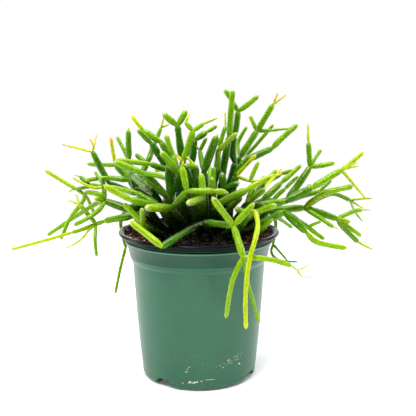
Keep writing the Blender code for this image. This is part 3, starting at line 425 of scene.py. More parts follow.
        ("k", "i", 1.3, 0.98, (330, 189.5, -4)),
    ],
    "right_main": [(32, -3),
        ("a", "root", 4.8, 0.10, (268, 211, 0)),
        ("b", "a", 4.8, 0.28, (304, 208, -2)),
        ("c", "b", 3.8, 0.58, (325, 194, 2), (352, 186.5, 4)),
        ("d", "b", 4.8, 0.20, (337, 219, -2)),
        ("e", "d", 3.8, 0.35, (345, 229, -4), (358, 242, -6)),
        ("f", "e", 1.8, 0.88, (374, 250, -8)),
        ("g", "d", 2.9, 0.58, (361, 236, 2)),
        ("h", "d", 3.0, 0.58, (350, 222, 6)),
        ("i", "d", 3.2, 0.55, (352, 212, -8), (362, 209.8, -10)),
        ("j", "i", 1.2, 0.93, (371, 210, -12)),
        ("k", "b", 3.2, 0.50, (333, 227, 8)),
        ("l", "k", 1.3, 0.98, (338.5, 229, 8)),
        ("m", "b", 2.9, 0.35, (330, 194, -12), (350, 200, -14)),
        ("n", "m", 1.6, 0.86, (373, 198, -16)),
        ("o", "m", 1.5, 0.88, (363.5, 208.5, -18)),
        ("p", "m", 1.8, 0.60, (355, 212, -22), (363, 222, -22)),
        ("q", "a", 2.7, 0.40, (292, 227.5, -14)),
    ],
    "right_droop": [(27, -14),
        ("a", "root", 4.6, 0.12, (284, 212, 18)),
        ("b", "a", 5.2, 0.20, (306, 232, 20)),
        ("c", "b", 3.5, 0.60, (315, 241, 20), (328, 245, 20), (346, 248, 20)),
        ("d", "a", 4.0, 0.25, (307.5, 227, 10)),
        ("e", "d", 3.0, 0.45, (324, 239, 10)),
        ("f", "d", 2.4, 0.50, (321, 221.5, 12)),
    ],
    "rim_right": [(38, -21),
        ("a", "root", 3.3, 0.50, (272, 219.5, 26)),
    ],
    "yellow_fall": [(23, -22),
        ("a", "root", 3.8, 0.20, (250, 212, 40)),
        ("b", "a", 2.8, 0.91, (255, 212.5, 47), (257.8, 225, 57), (255, 240, 64), (250, 258, 68),
         (246.5, 282, 69), (245.3, 305, 68), (246, 328, 67)),
    ],
    "green_fall": [(8, -24),
        ("a", "root", 4.2, 0.12, (205, 222, 34)),
        ("b", "a", 4.1, 0.14, (233.5, 226, 52)),
        ("c", "b", 4.1, 0.62, (213, 198.5, 58)),
        ("d", "b", 3.7, 0.55, (253.5, 204, 50)),
        ("e", "b", 4.2, 0.50, (243, 257, 63)),
        ("f", "e", 2.9, 0.60, (232, 282, 64), (226, 317, 63)),
        ("g", "e", 3.2, 0.68, (268, 259.5, 62), (291, 265.5, 58)),
        ("h", "e", 2.3, 0.48, (248, 283, 59), (259, 322, 57)),
        ("i", "g", 1.3, 0.85, (297, 270, 58)),
        ("j", "i", 1.0, 0.86, (302, 276, 58), (312, 277.5, 58)),
        ("k", "i", 1.0, 0.88, (305, 267, 58), (311.5, 263, 58)),
    ],
    "behind_right": [(28, 22),
        ("a", "root", 3.6, 0.10, (268, 207, -32)),
        ("b", "a", 2.8, 0.25, (276, 222, -36), (273, 244, -33)),
        ("c", "b", 2.0, 0.45, (287, 260, -30)),
        ("d", "b", 2.0, 0.35, (272, 253, -31), (280, 260, -28), (298, 262, -26)),
    ],
    "behind_left": [(-28, 22),
        ("a", "root", 3.4, 0.10, (126, 208, -38)),
        ("b", "a", 2.6, 0.30, (121, 224, -40), (125.8, 247, -34)),
        ("c", "b", 2.1, 0.60, (122, 264, -31), (115.5, 293, -28)),
    ],
    "middle_stub": [(0, -10),
        ("a", "root", 4.4, 0.20, (203, 198, 28)),
        ("b", "a", 4.6, 0.62, (188, 203, 46)),
        ("c", "a", 4.4, 0.50, (201, 174.5, 22)),
    ],
    "middle_pair": [(9, -2),
        ("a", "root", 4.0, 0.12, (214, 193, 12)),
        ("b", "a", 3.6, 0.50, (212, 178, 12)),
        ("c", "a", 3.0, 0.30, (214, 168, 6)),
    ],
    "middle_hook": [(-2, -6),
        ("a", "root", 4.0, 0.08, (196.5, 167, 14)),
        ("b", "a", 3.6, 0.50, (185.5, 165, 18)),
        ("c", "a", 1.7, 0.90, (186, 156.5, 12)),
    ],
    "right_short": [(18, -12),
        ("a", "root", 4.4, 0.15, (250, 201, 18)),
        ("b", "a", 3.8, 0.45, (264.5, 189.5, 18)),
    ],
    "right_tuft": [(15, -18),
        ("a", "root", 4.4, 0.18, (252, 215, 30)),
        ("b", "a", 3.8, 0.55, (275, 205, 32)),
        ("c", "a", 4.0, 0.45, (236, 208.5, 36)),
    ],
    "right_fill": [(20, -3),
        ("a", "root", 4.8, 0.10, (247, 203, 10)),
        ("b", "a", 4.6, 0.30, (254, 189, 8)),
        ("c", "a", 4.4, 0.25, (264, 206, 12)),
    ],
    "centre_fill": [(12, -4),
        ("a", "root", 4.8, 0.02, (229, 210, 14)),
        ("b", "a", 3.6, 0.35, (241, 198, 20)),
        ("c", "a", 4.8, 0.02, (224, 190, 8)),
        ("d", "c", 4.6, 0.08, (222, 174, 6)),
        ("e", "c", 4.6, 0.12, (238, 183, 10)),
    ],
    "centre_cross": [(8, 9),
        ("a", "root", 4.0, 0.05, (219, 168, -2)),
        ("b", "a", 3.2, 0.35, (217.5, 151.5, 2)),
        ("c", "b", 3.2, 0.60, (236.5, 133.5, 6)),
    ],
}


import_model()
pot_low, pot_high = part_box("pot")
AXIS = Vector(((pot_low[0] + pot_high[0]) / 2.0, (pot_low[1] + pot_high[1]) / 2.0, 0.0))


def in_frame(point):
    """A point in mm from the pot's axis, as metres in the frame."""
    return Vector(point) * MM + AXIS


# Materials

class Graph:
    """A tree of shader nodes, with short ways to add nodes and join them."""

    def __init__(self, tree):
        self.nodes = tree.nodes
        self.links = tree.links

    def add(self, kind, **settings):
        made = self.nodes.new(kind)
        for name, value in settings.items():
            setattr(made, name, value)
        return made

    def feed(self, socket, value):
        """Join a socket to the output that feeds it, or set it to a number or a colour."""
        if isinstance(value, bpy.types.NodeSocket):
            self.links.new(value, socket)
        elif isinstance(value, tuple):
            socket.default_value = (*value, 1.0)
        else:
            socket.default_value = value

    def along(self, place, axis):
        """One coordinate of a point in the object, or of a direction in the world."""
        split = self.add("ShaderNodeSeparateXYZ")
        self.feed(split.inputs["Vector"], self.add("ShaderNodeTexCoord").outputs[place])
        return split.outputs[axis]

    def attribute(self, name):
        return self.add("ShaderNodeAttribute", attribute_name=name).outputs["Fac"]

    def noise(self, scale, detail, rough=0.55):
        made = self.add("ShaderNodeTexNoise")
        self.feed(made.inputs["Vector"], self.add("ShaderNodeTexCoord").outputs["Object"])
        for name, value in (("Scale", scale), ("Detail", detail), ("Roughness", rough)):
            self.feed(made.inputs[name], value)
        return made.outputs["Fac"]

    def math(self, operation, *values, clamp=False):
        made = self.add("ShaderNodeMath", operation=operation, use_clamp=clamp)
        for socket, value in zip(made.inputs, values):
            self.feed(socket, value)
        return made.outputs[0]

    def scaled(self, value, scale, plus, clamp=False):
        return self.math("MULTIPLY_ADD", value, scale, plus, clamp=clamp)

    def mix(self, factor, first, second):
        made = self.add("ShaderNodeMix", data_type="RGBA")
        for index, value in ((0, factor), (6, first), (7, second)):
            self.feed(made.inputs[index], value)
        return made.outputs[2]

    def ramp(self, factor, *stops):
        """A colour that follows a factor, from stops of a position and a colour."""
        made = self.add("ShaderNodeValToRGB")
        elements = made.color_ramp.elements
        elements[0].position, elements[0].color = stops[0][0], (*stops[0][1], 1.0)
        elements[1].position, elements[1].color = stops[-1][0], (*stops[-1][1], 1.0)
        for position, colour in stops[1:-1]:
            elements.new(position).color = (*colour, 1.0)
        self.feed(made.inputs["Fac"], factor)
        return made.outputs["Color"]


class Finish(Graph):
    """A material with a principled shader."""

    def __init__(self, name):
        self.material = bpy.data.materials.new(name)
        self.material.use_nodes = True
        super().__init__(self.material.node_tree)
        self.shader = self.nodes["Principled BSDF"]

    def set(self, name, value):
        self.feed(self.shader.inputs[name], value)

    def bump(self, height, strength, distance):
        made = self.add("ShaderNodeBump")
        for name, value in (("Height", height), ("Strength", strength), ("Distance", distance)):
            self.feed(made.inputs[name], value)
        self.set("Normal", made.outputs["Normal"])

    def above(self, height, level, sharpness):
        """Rises from nothing to one just over a level in mm."""
        return self.scaled(height, sharpness, -sharpness * level * MM, clamp=True)

    def painted_highlight_line(self, height, level):
        """A painted highlight line: one at a level in mm, falling to nothing about half a millimetre
        away.
        """
        off = self.math("ABSOLUTE", self.math("SUBTRACT", height, level * MM))
        return self.scaled(off, -2200.0, 1.4, clamp=True)


# Colours of the stems by tone, from an old dark link to a yellow tip that turns orange at its end
STEM_COLOURS = (
    (0.00, (0.010, 0.100, 0.000)),
    (0.12, (0.030, 0.145, 0.000)),
    (0.24, (0.074, 0.240, 0.000)),
    (0.45, (0.155, 0.365, 0.000)),
    (0.64, (0.225, 0.425, 0.000)),
    (0.80, (0.320, 0.480, 0.000)),
    (0.94, (0.540, 0.640, 0.002)),
    (1.00, (0.720, 0.430, 0.020)),
)
PALE = (0.700, 0.660, 0.420)
DEEP = (0.002, 0.007, 0.000)


def stem_material():
    """Mottled green with pale specks, paler at the areoles, with painted shade down among the other
    stems.
    """
    finish = Finish("cactus_stem")
    blotches = finish.scaled(finish.noise(260.0, 3.0), 0.18, -0.09)
    toned = finish.math("ADD", finish.attribute("tone"), blotches, clamp=True)
    mottles = finish.scaled(finish.noise(620.0, 2.0), 2.6, -1.15, clamp=True)
    green = finish.ramp(toned, *STEM_COLOURS)
    mottled = finish.mix(finish.math("MULTIPLY", mottles, 0.36), green, DEEP)
    specks = finish.scaled(finish.noise(1500.0, 2.0), 6.0, -4.1, clamp=True)
    specked = finish.mix(finish.math("MULTIPLY", specks, 0.6), mottled, PALE)
    pale = finish.attribute("pale")
    # painted shade: the colour goes toward DEEP low down among the other stems
    finish.set("Base Color", finish.mix(finish.attribute("painted_shade"), finish.mix(pale, specked, PALE), DEEP))
    waxy = finish.scaled(finish.noise(420.0, 3.0), 0.20, 0.17)
    finish.set("Roughness", finish.scaled(pale, 0.4, waxy, clamp=True))
    finish.bump(finish.noise(640.0, 2.0), 0.6, 0.0007)
    finish.set("Specular IOR Level", 0.35)
    finish.set("Specular Tint", (0.9, 1.0, 0.1))
    finish.set("Coat Weight", 0.25)
    finish.set("Coat Roughness", 0.12)
    return finish.material


def pot_green_material():
    """Green plastic, darker on the collar, with painted shade in the neck under the lip and painted
    highlight lines along the ridge and the collar foot, dusty at the base.
    """
    finish = Finish("pot_green")
    height = finish.along("Object", "Z")
    wall = finish.ramp(finish.noise(26.0, 3.0), (0.3, (0.028, 0.118, 0.063)),
                       (0.7, (0.036, 0.138, 0.076)))
    raised = finish.mix(finish.above(height, COLLAR_FOOT_HEIGHT, 700.0), wall, (0.014, 0.080, 0.042))
    # painted highlights: pale lines where the ridge and the collar foot catch the light
    ridge = finish.painted_highlight_line(height, RIDGE_HEIGHT - 0.6)
    with_ridge_highlight = finish.mix(ridge, raised, (0.085, 0.250, 0.150))
    foot = finish.painted_highlight_line(height, COLLAR_FOOT_HEIGHT + 1.5)
    with_highlights = finish.mix(foot, with_ridge_highlight, (0.044, 0.190, 0.110))
    # painted shade: dark green in the neck under the lip
    neck = finish.above(height, RIDGE_HEIGHT + 0.9, 1400.0)
    body = finish.mix(neck, with_highlights, (0.005, 0.026, 0.009))
    spots = finish.scaled(finish.noise(480.0, 5.0, 0.7), 14.0, -9.6, clamp=True)
    patches = finish.scaled(finish.noise(42.0, 2.0), 8.0, -4.0, clamp=True)
    near_base = finish.scaled(height, -45.0, 1.1, clamp=True)
    dirt = finish.math("MULTIPLY", finish.math("MULTIPLY", spots, patches), near_base)
    finish.set("Base Color", finish.mix(finish.math("MULTIPLY", dirt, 0.75), body, (0.42, 0.36, 0.25)))
    rough = finish.scaled(finish.noise(60.0, 4.0), 0.14, 0.26)
    finish.set("Roughness", finish.scaled(dirt, 0.5, rough, clamp=True))
    finish.bump(finish.noise(700.0, 3.0), 0.08, 0.0002)
    # less reflection in the painted shade of the neck
    finish.set("Specular IOR Level", finish.scaled(neck, -0.22, 0.27))
    return finish.material


def pot_black_material():
    """Black plastic of the lip and the inside."""
    finish = Finish("pot_black")
    base = finish.ramp(finish.noise(70.0, 3.0), (0.3, (0.002, 0.003, 0.005)),
                       (0.7, (0.004, 0.005, 0.009)))
    finish.set("Base Color", base)
    finish.set("Roughness", finish.scaled(finish.noise(110.0, 4.0), 0.14, 0.06))
    finish.bump(finish.noise(500.0, 3.0), 0.06, 0.0002)
    finish.set("Specular IOR Level", 0.08)
    return finish.material


def soil_material():
    """Dark damp peat, with a painted shadow of the stems darkening its middle."""
    finish = Finish("soil_peat")
    base = finish.ramp(finish.noise(420.0, 6.0, 0.7), (0.32, (0.002, 0.002, 0.001)),
                       (0.55, (0.011, 0.007, 0.004)), (0.72, (0.050, 0.026, 0.012)))
    # painted shadow of the stems: the middle of the soil goes toward black
    finish.set("Base Color", finish.mix(finish.attribute("painted_shade"), base, (0.0, 0.0, 0.0)))
    finish.set("Roughness", 0.92)
    finish.set("Specular IOR Level", 0.1)
    finish.bump(finish.noise(900.0, 5.0, 0.75), 0.9, 0.0008)
    return finish.material


def chip_material():
    """Bark by tone, from black through brown to a few pale grains."""
    finish = Finish("bark_chips")
    grain = finish.noise(800.0, 5.0)
    tone = finish.math("SUBTRACT", finish.attribute("tone"), 0.15)
    toned = finish.scaled(grain, 0.3, tone, clamp=True)
    base = finish.ramp(toned, (0.0, (0.002, 0.001, 0.001)), (0.45, (0.110, 0.042, 0.016)),
                       (0.75, (0.330, 0.135, 0.045)), (1.0, (0.620, 0.520, 0.380)))
    finish.set("Base Color", base)
    finish.set("Roughness", 0.85)
    finish.bump(grain, 0.6, 0.0004)
    return finish.material


def crumb_material():
    """Dried soil on the wall."""
    finish = Finish("dried_soil")
    finish.set("Base Color", finish.ramp(finish.noise(700.0, 3.0), (0.35, (0.300, 0.260, 0.160)),
                                         (0.60, (0.780, 0.740, 0.600))))
    finish.set("Roughness", 0.9)
    return finish.material


def floor_material():
    """White, with little green so that the pot's own colour leaves its shadow neutral."""
    finish = Finish("floor_white")
    finish.set("Base Color", finish.ramp(finish.noise(3.0, 2.0), (0.0, (0.960, 0.940, 0.972)),
                                         (1.0, (0.980, 0.960, 0.990))))
    finish.set("Roughness", 0.6)
    finish.set("Specular IOR Level", 0.1)
    finish.set("Emission Color", (1.0, 1.0, 1.0))
    finish.set("Emission Strength", FLOOR_GLOW)
    return finish.material


# Meshes

def mesh_object(name, points, faces, materials, smooth=True):
    mesh = bpy.data.meshes.new(name)
    mesh.from_pydata([tuple(point) for point in points], [], faces)
    for material in materials:
        mesh.materials.append(material)
    mesh.polygons.foreach_set("use_smooth", [smooth] * len(mesh.polygons))
    thing = bpy.data.objects.new(name, mesh)
    bpy.context.scene.collection.objects.link(thing)
    return thing


def add_attribute(mesh, name, values):
    layer = mesh.attributes.new(name, "FLOAT", "POINT")
    layer.data.foreach_set("value", values)


def apply_modifiers(thing):
    depsgraph = bpy.context.evaluated_depsgraph_get()
    mesh = bpy.data.meshes.new_from_object(thing.evaluated_get(depsgraph))
    thing.modifiers.clear()
    thing.data = mesh


def arc(centre, radius, start, end, steps):
    """Points of a round corner in a profile, by degrees from +X toward +Z."""
    points = []
    for step in range(steps + 1):
        angle = math.radians(start + (end - start) * step / steps)
        points.append((centre[0] + radius * math.cos(angle), centre[1] + radius * math.sin(angle)))
    return points


def turned(name, profile, sides, materials):
    """A closed body turned about the pot's axis from a profile in mm, down its outer side."""
    mesh = bpy.data.meshes.new(name)
    points = [(radius * MM, 0.0, height * MM) for radius, height in profile]
    mesh.from_pydata(points, [(i, i + 1) for i in range(len(points) - 1)], [])
    thing = bpy.data.objects.new(name, mesh)
    bpy.context.scene.collection.objects.link(thing)
    screw = thing.modifiers.new("turn", "SCREW")
    screw.axis = "Z"
    screw.steps = sides
    screw.render_steps = sides
    screw.use_merge_vertices = True
    screw.merge_threshold = 0.00001
    apply_modifiers(thing)
    thing.data.materials.clear()
    for material in materials:
        thing.data.materials.append(material)
    return thing


# Pot

def toward_viewer(degrees):
    angle = math.radians(degrees)
    return Vector((math.sin(angle), -math.cos(angle), 0.0))


def wall_radius(height):
    """Radius in mm of the pot's outer wall, a little bulged, at a height below the collar."""
    share = (height - SHOULDER_HEIGHT) / (COLLAR_FOOT_HEIGHT - SHOULDER_HEIGHT)
    bulge = 0.65 * math.sin(math.pi * share)
    return WALL_FOOT_RADIUS + (WALL_TOP_RADIUS - WALL_FOOT_RADIUS) * share + bulge


def pot_profile():
    """The pot's section, from inside its floor up over the lip and down the wall to its base."""
    top = POT_HEIGHT
    lip_round = LIP_BAND / 2.0
    return (
        [(0.0, FLOOR_HEIGHT), (WALL_FOOT_RADIUS - 3.0, FLOOR_HEIGHT)]
        + arc((WALL_FOOT_RADIUS - WALL - 2.0, FLOOR_HEIGHT + 2.0), 2.0, -90.0, 0.0, 5)
        + [(WALL_TOP_RADIUS - WALL, COLLAR_FOOT_HEIGHT - 2.0),
           (COLLAR_FOOT_RADIUS - WALL, COLLAR_FOOT_HEIGHT + 1.0),
           (COLLAR_RADIUS - WALL, RIDGE_HEIGHT - 5.0),
           (RIDGE_RADIUS - WALL - 0.8, RIDGE_HEIGHT), (RIDGE_RADIUS - WALL - 0.6, top - 3.0),
           (RIDGE_RADIUS + 0.2, top - 1.6)]
        + arc((RIDGE_RADIUS + 1.4, top - 1.2), 1.2, 170.0, 90.0, 5)
        + arc((LIP_RADIUS - lip_round, top - lip_round), lip_round, 90.0, -90.0, 10)
        + arc((NECK_RADIUS + 1.0, top - LIP_BAND - 1.0), 1.0, 90.0, 180.0, 4)
        + [(NECK_RADIUS, RIDGE_HEIGHT + 0.9)]
        + arc((RIDGE_RADIUS - 0.45, RIDGE_HEIGHT + 0.15), 0.45, 90.0, -10.0, 5)
        + [(RIDGE_RADIUS - 0.7, RIDGE_HEIGHT - 1.6), (COLLAR_RADIUS + 0.5, RIDGE_HEIGHT - 4.0),
           (COLLAR_RADIUS, RIDGE_HEIGHT - 6.0)]
        + arc((COLLAR_FOOT_RADIUS - 0.45, COLLAR_FOOT_HEIGHT + 0.9), 0.5, 20.0, -70.0, 6)
        + arc((WALL_TOP_RADIUS + 1.0, COLLAR_FOOT_HEIGHT - 2.7), 1.0, 120.0, 183.0, 5)
        + [(wall_radius(height), height) for height in (66.0, 45.0, 25.0, 10.5, 8.3)]
        + [(WALL_FOOT_RADIUS + 0.1, 7.7)]
        + arc((WALL_FOOT_RADIUS - 4.0, 4.3), 4.0, 0.0, -58.0, 8)
        + arc((FOOT_RADIUS + 0.3, 1.2), 1.2, -45.0, -90.0, 4)
        + [(FOOT_RADIUS - 4.0, 0.0), (FOOT_RADIUS - 6.0, FLOOR_HEIGHT - FLOOR_THICKNESS),
           (0.0, FLOOR_HEIGHT - FLOOR_THICKNESS)]
    )


def notch_cutter(degrees, width_degrees, cutters):
    """A wide notch in the base, narrower at its top, with round upper corners."""
    middle_radius = 36.0
    foot_width = 2.0 * middle_radius * math.tan(math.radians(width_degrees / 2.0))
    bm = bmesh.new()
    bmesh.ops.create_cube(bm, size=1.0)
    for vertex in bm.verts:
        narrow = 0.72 if vertex.co.z > 0.0 else 1.12
        vertex.co.x *= foot_width * narrow * MM
        vertex.co.y *= 26.0 * MM
        vertex.co.z = (NOTCH_HEIGHT if vertex.co.z > 0.0 else -1.0) * MM
    level = [edge for edge in bm.edges if abs(edge.verts[0].co.z - edge.verts[1].co.z) < MM]
    top = [edge for edge in level
           if edge.verts[0].co.z > 0.0 and abs(edge.verts[0].co.x - edge.verts[1].co.x) < MM]
    bmesh.ops.bevel(bm, geom=top, offset=1.4 * MM, segments=4, affect="EDGES")
    turn = (0.0, 0.0, math.radians(degrees))
    add_cutter("notch_cutter", bm, toward_viewer(degrees) * middle_radius, turn, cutters)


def small_notch_cutter(degrees, cutters):
    bm = bmesh.new()
    bmesh.ops.create_cone(bm, cap_ends=True, segments=24, radius1=SMALL_NOTCH_RADIUS * MM,
                          radius2=SMALL_NOTCH_RADIUS * MM, depth=16.0 * MM)
    turn = (math.radians(90.0), 0.0, math.radians(degrees))
    add_cutter("small_notch_cutter", bm, toward_viewer(degrees) * WALL_FOOT_RADIUS, turn, cutters)


def add_cutter(name, bm, place, turn, cutters):
    mesh = bpy.data.meshes.new(name)
    bm.to_mesh(mesh)
    bm.free()
    thing = bpy.data.objects.new(name, mesh)
    thing.location = place * MM
    thing.rotation_euler = turn
    cutters.objects.link(thing)


def cut_notches(pot):
    """Cut the drain notches out of the pot's base."""
    cutters = bpy.data.collections.new("pot_cutters")
    bpy.context.scene.collection.children.link(cutters)
    for degrees, width in NOTCHES:
        notch_cutter(degrees, width, cutters)
    for degrees in SMALL_NOTCHES:
        small_notch_cutter(degrees, cutters)
    cut = pot.modifiers.new("cut", "BOOLEAN")
    cut.operation = "DIFFERENCE"
    cut.operand_type = "COLLECTION"
    cut.collection = cutters
    cut.solver = "EXACT"
    apply_modifiers(pot)
    for thing in list(cutters.objects):
        bpy.data.objects.remove(thing, do_unlink=True)
    bpy.data.collections.remove(cutters)


def blacken(mesh):
    """Give the black material to the pot's lip, inside and floor."""
    black_from = (POT_HEIGHT - LIP_BAND - 0.2) * MM
    for face in mesh.polygons:
        middle = face.center
        out = math.hypot(middle.x, middle.y)
        inward = middle.x * face.normal.x + middle.y * face.normal.y < -0.3 * out
        inside = inward and middle.z > (FLOOR_HEIGHT + 0.2) * MM
        floor = abs(middle.z - FLOOR_HEIGHT * MM) < 0.2 * MM
        face.material_index = 1 if inside or floor or middle.z > black_from else 0


def make_pot():
    """The pot, green outside and black inside and on its lip."""
    materials = (pot_green_material(), pot_black_material())
    pot = turned("nursery_pot", pot_profile(), POT_SIDES, materials)
    cut_notches(pot)
    blacken(pot.data)
    pot.data.polygons.foreach_set("use_smooth", [True] * len(pot.data.polygons))
    pot.data.transform(Matrix.Translation(AXIS))
    pot.data.set_sharp_from_angle(angle=math.radians(SHARP_DEGREES))
    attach(pot, "root")
    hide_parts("pot")


def fleck(points, faces, angle, height, size, stretch):
    """A flat crumb of dried soil stuck on the wall."""
    out = toward_viewer(angle)
    side = Vector((-out.y, out.x, 0.0))
    up = Vector((0.0, 0.0, 1.0))
    middle = out * wall_radius(height) + up * height
    first = len(points)
    sides = 7
    for lift, share in ((-0.15, 1.0), (0.16, 0.7)):
        for i in range(sides):
            turn = 2.0 * math.pi * i / sides
            uneven = share * (1.0 + 0.3 * noise.noise(Vector((angle + turn, height, size))))
            points.append(middle + out * lift + side * math.cos(turn) * size * stretch * uneven
                          + up * math.sin(turn) * size * uneven)
    faces.append(tuple(first + sides + i for i in range(sides)))
    for i in range(sides):
        j = (i + 1) % sides
        faces.append((first + i, first + j, first + sides + j, first + sides + i))


def make_dirt():
    """Crumbs splashed on the lower wall in a few patches, and a short tan streak at the foot."""
    draw = random.Random(LOOK_SEED)
    points, faces = [], []
    for start, end, low, high, count, sizes in DIRT_PATCHES:
        for _ in range(count):
            share = 0.5 * (draw.random() + draw.random())
            angle = start + (end - start) * share
            height = low + (high - low) * (0.65 * share + 0.35 * draw.random())
            fleck(points, faces, angle, height, draw.uniform(*sizes), draw.uniform(0.8, 1.5))
    fleck(points, faces, 10.0, 8.4, 0.22, 17.0)
    places = [in_frame(point) for point in points]
    dirt = mesh_object("dried_soil_crumbs", places, faces, [crumb_material()], False)
    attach(dirt, "root")


# Soil

def soil_height(x, y):
    """Height in mm of the soil's rough top at a place."""
    out = math.hypot(x, y) / 48.0
    crown = SOIL_TOP + SOIL_CROWN * (1.0 - out * out)
    crown += SOIL_BANK * smooth_step((math.hypot(x, y) - 41.0) / 9.0)
    lumps = noise.noise(Vector((x * 0.16, y * 0.16, 3.0))) * 0.9
    crumbs = noise.noise(Vector((x * 0.7, y * 0.7, 9.0))) * 0.7
    grit = noise.noise(Vector((x * 1.9, y * 1.9, 5.0))) * 0.35
    return crown + (lumps + crumbs + grit) * 0.9 - 0.4


def make_soil():
    """The soil's rough top, in rings out to the lip, and its plain sides and bottom inside the pot."""
    levels = [(SOIL_EDGE_RADIUS * ring / SOIL_RINGS, None) for ring in range(1, SOIL_RINGS + 1)]
    levels.append((47.9, 95.8))
    levels += [(radius - WALL - SOIL_WALL_GAP, height) for radius, height in (
        (COLLAR_RADIUS, RIDGE_HEIGHT - 5.0), (COLLAR_FOOT_RADIUS, 82.0), (WALL_TOP_RADIUS, 79.5),
        (WALL_FOOT_RADIUS, 9.2))]
    levels.append((34.0, SOIL_FOOT))
    points = [(0.0, 0.0, soil_height(0.0, 0.0))]
    for out, height in levels:
        for side in range(SOIL_SIDES):
            angle = 2.0 * math.pi * side / SOIL_SIDES
            x, y = out * math.cos(angle), out * math.sin(angle)
            points.append((x, y, soil_height(x, y) if height is None else height))
    points.append((0.0, 0.0, SOIL_FOOT))
    faces = [(0, 1 + side, 1 + (side + 1) % SOIL_SIDES) for side in range(SOIL_SIDES)]
    for ring in range(len(levels)):
        low, high = 1 + ring * SOIL_SIDES, 1 + (ring + 1) * SOIL_SIDES
        for side in range(SOIL_SIDES):
            after = (side + 1) % SOIL_SIDES
            if high < len(points) - 1:
                faces.append((low + side, high + side, high + after, low + after))
            else:
                faces.append((low + side, high, low + after))
    soil = mesh_object("potting_soil", [in_frame(point) for point in points], faces, [soil_material()])
    # painted shadow of the stems on the middle of the soil
    add_attribute(soil.data, "painted_shade", [painted_soil_shadow(point[0]) for point in points])
    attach(soil, "root")
    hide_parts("soil")


def painted_soil_shadow(x):
    """How dark the painted shadow of the stems is in the middle of the soil."""
    return 0.85 * (1.0 - smooth_step((abs(x) - 20.0) / 14.0))


def make_chips():
    """Bark bits, fibres and a few pale grains on top of the soil."""
    draw = random.Random(LOOK_SEED)
    points, faces, tones = [], [], []
    sides = ((0, 1, 3, 2), (4, 6, 7, 5), (0, 4, 5, 1), (2, 3, 7, 6), (0, 2, 6, 4), (1, 5, 7, 3))
    for _ in range(CHIP_COUNT):
        out = CHIP_REACH * math.sqrt(draw.random())
        angle = draw.uniform(0.0, 2.0 * math.pi)
        x, y = out * math.cos(angle), out * math.sin(angle)
        size = draw.choice(CHIP_SIZES)
        stretch = draw.uniform(1.0, 2.6)
        kind = draw.random()
        if kind < 0.55:
            tone = draw.uniform(0.05, 0.35)
        else:
            tone = draw.uniform(0.45, 0.8) if kind < 0.95 else 1.0
        # painted shadow of the stems: chips in the middle are darker
        tone *= 1.0 - painted_soil_shadow(x)
        middle = Vector((x, y, soil_height(x, y) + size * 0.15))
        turn = Vector((draw.uniform(-1, 1), draw.uniform(-1, 1), draw.uniform(-0.4, 0.4))).normalized()
        side = turn.cross(Vector((0.0, 0.0, 1.0))).normalized()
        up = side.cross(turn)
        first = len(points)
        for a in (-1, 1):
            for b in (-1, 1):
                for c in (-1, 1):
                    wobble = [draw.uniform(0.55, 1.1) for _ in range(3)]
                    points.append(middle + turn * a * size * stretch * 0.5 * wobble[0]
                                  + side * b * size * 0.5 * wobble[1] + up * c * size * 0.32 * wobble[2])
                    tones.append(tone)
        faces += [tuple(first + i for i in quad) for quad in sides]
    places = [in_frame(point) for point in points]
    chips = mesh_object("bark_chips", places, faces, [chip_material()], False)
    add_attribute(chips.data, "tone", tones)
    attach(chips, "root")


# Where the stems run: the same rules as in part.py

def viewpoint_ray(px, py):
    """Direction from the viewpoint through a pixel of the photograph, one long along its axis."""
    across = (px - PICTURE_CENTRE) / FOCAL_PIXELS
    upward = (PICTURE_CENTRE - py) / FOCAL_PIXELS
    forward = Vector((
        math.sin(VIEW_YAW) * math.cos(VIEW_PITCH),
        math.cos(VIEW_YAW) * math.cos(VIEW_PITCH),
        -math.sin(VIEW_PITCH)))
    right = Vector((math.cos(VIEW_YAW), -math.sin(VIEW_YAW), 0.0))
    return forward + right * across + right.cross(forward) * upward


def seen(px, py, toward):
    """The point behind a pixel of the photograph, that many mm nearer the viewer than the pot's axis."""
    ray = viewpoint_ray(px, py)
    return Vector((0.0, -VIEW_DISTANCE, VIEW_HEIGHT)) + ray * ((VIEW_DISTANCE - toward) / ray.y)


class Plant:
    """The joints of all the stems and the tubes between them, while they are moved apart."""

    def __init__(self):
        self.points = []
        self.ways = []
        self.tubes = []
        self.segments = []

    def joint(self, point, way):
        """A joint that stays put (way None), moves along one direction, or moves freely (way "free")."""
        self.points.append(Vector(point))
        self.ways.append(way)
        return len(self.points) - 1

    def segment(self, stem, joints, width, hue, elbows=0):
        """One link of the plant, through two or more joints, the first few of them elbows."""
        width = width * WIDTH_SCALE
        self.segments.append((stem, tuple(joints), width, hue, elbows))
        for start, end in zip(joints, joints[1:]):
            self.tubes.append((start, end, width / 2.0, stem))


def arched(start, end, count):
    """Points between two joints on a curve that rises first and then leans out."""
    control = Vector((start.x * 0.8 + end.x * 0.2, start.y * 0.8 + end.y * 0.2,
                      start.z * 0.3 + end.z * 0.7))
    points = []
    for step in range(1, count):
        t = step / count
        points.append(start * (1 - t) ** 2 + control * (2 * t * (1 - t)) + end * t ** 2)
    return points


def spread_roots(roots):
    """Move the roots apart until a hole in the soil fits round each."""
    places = [Vector((x, y)) for x, y in roots]
    for _ in range(200):
        for i, first in enumerate(places):
            for second in places[i + 1:]:
                apart = second - first
                if apart.length < ROOT_SPACING:
                    push = apart.normalized() * (ROOT_SPACING - apart.length) / 2.0
                    first -= push
                    second += push
        for place in places:
            if place.length > ROOT_REACH:
                place *= ROOT_REACH / place.length
    return places


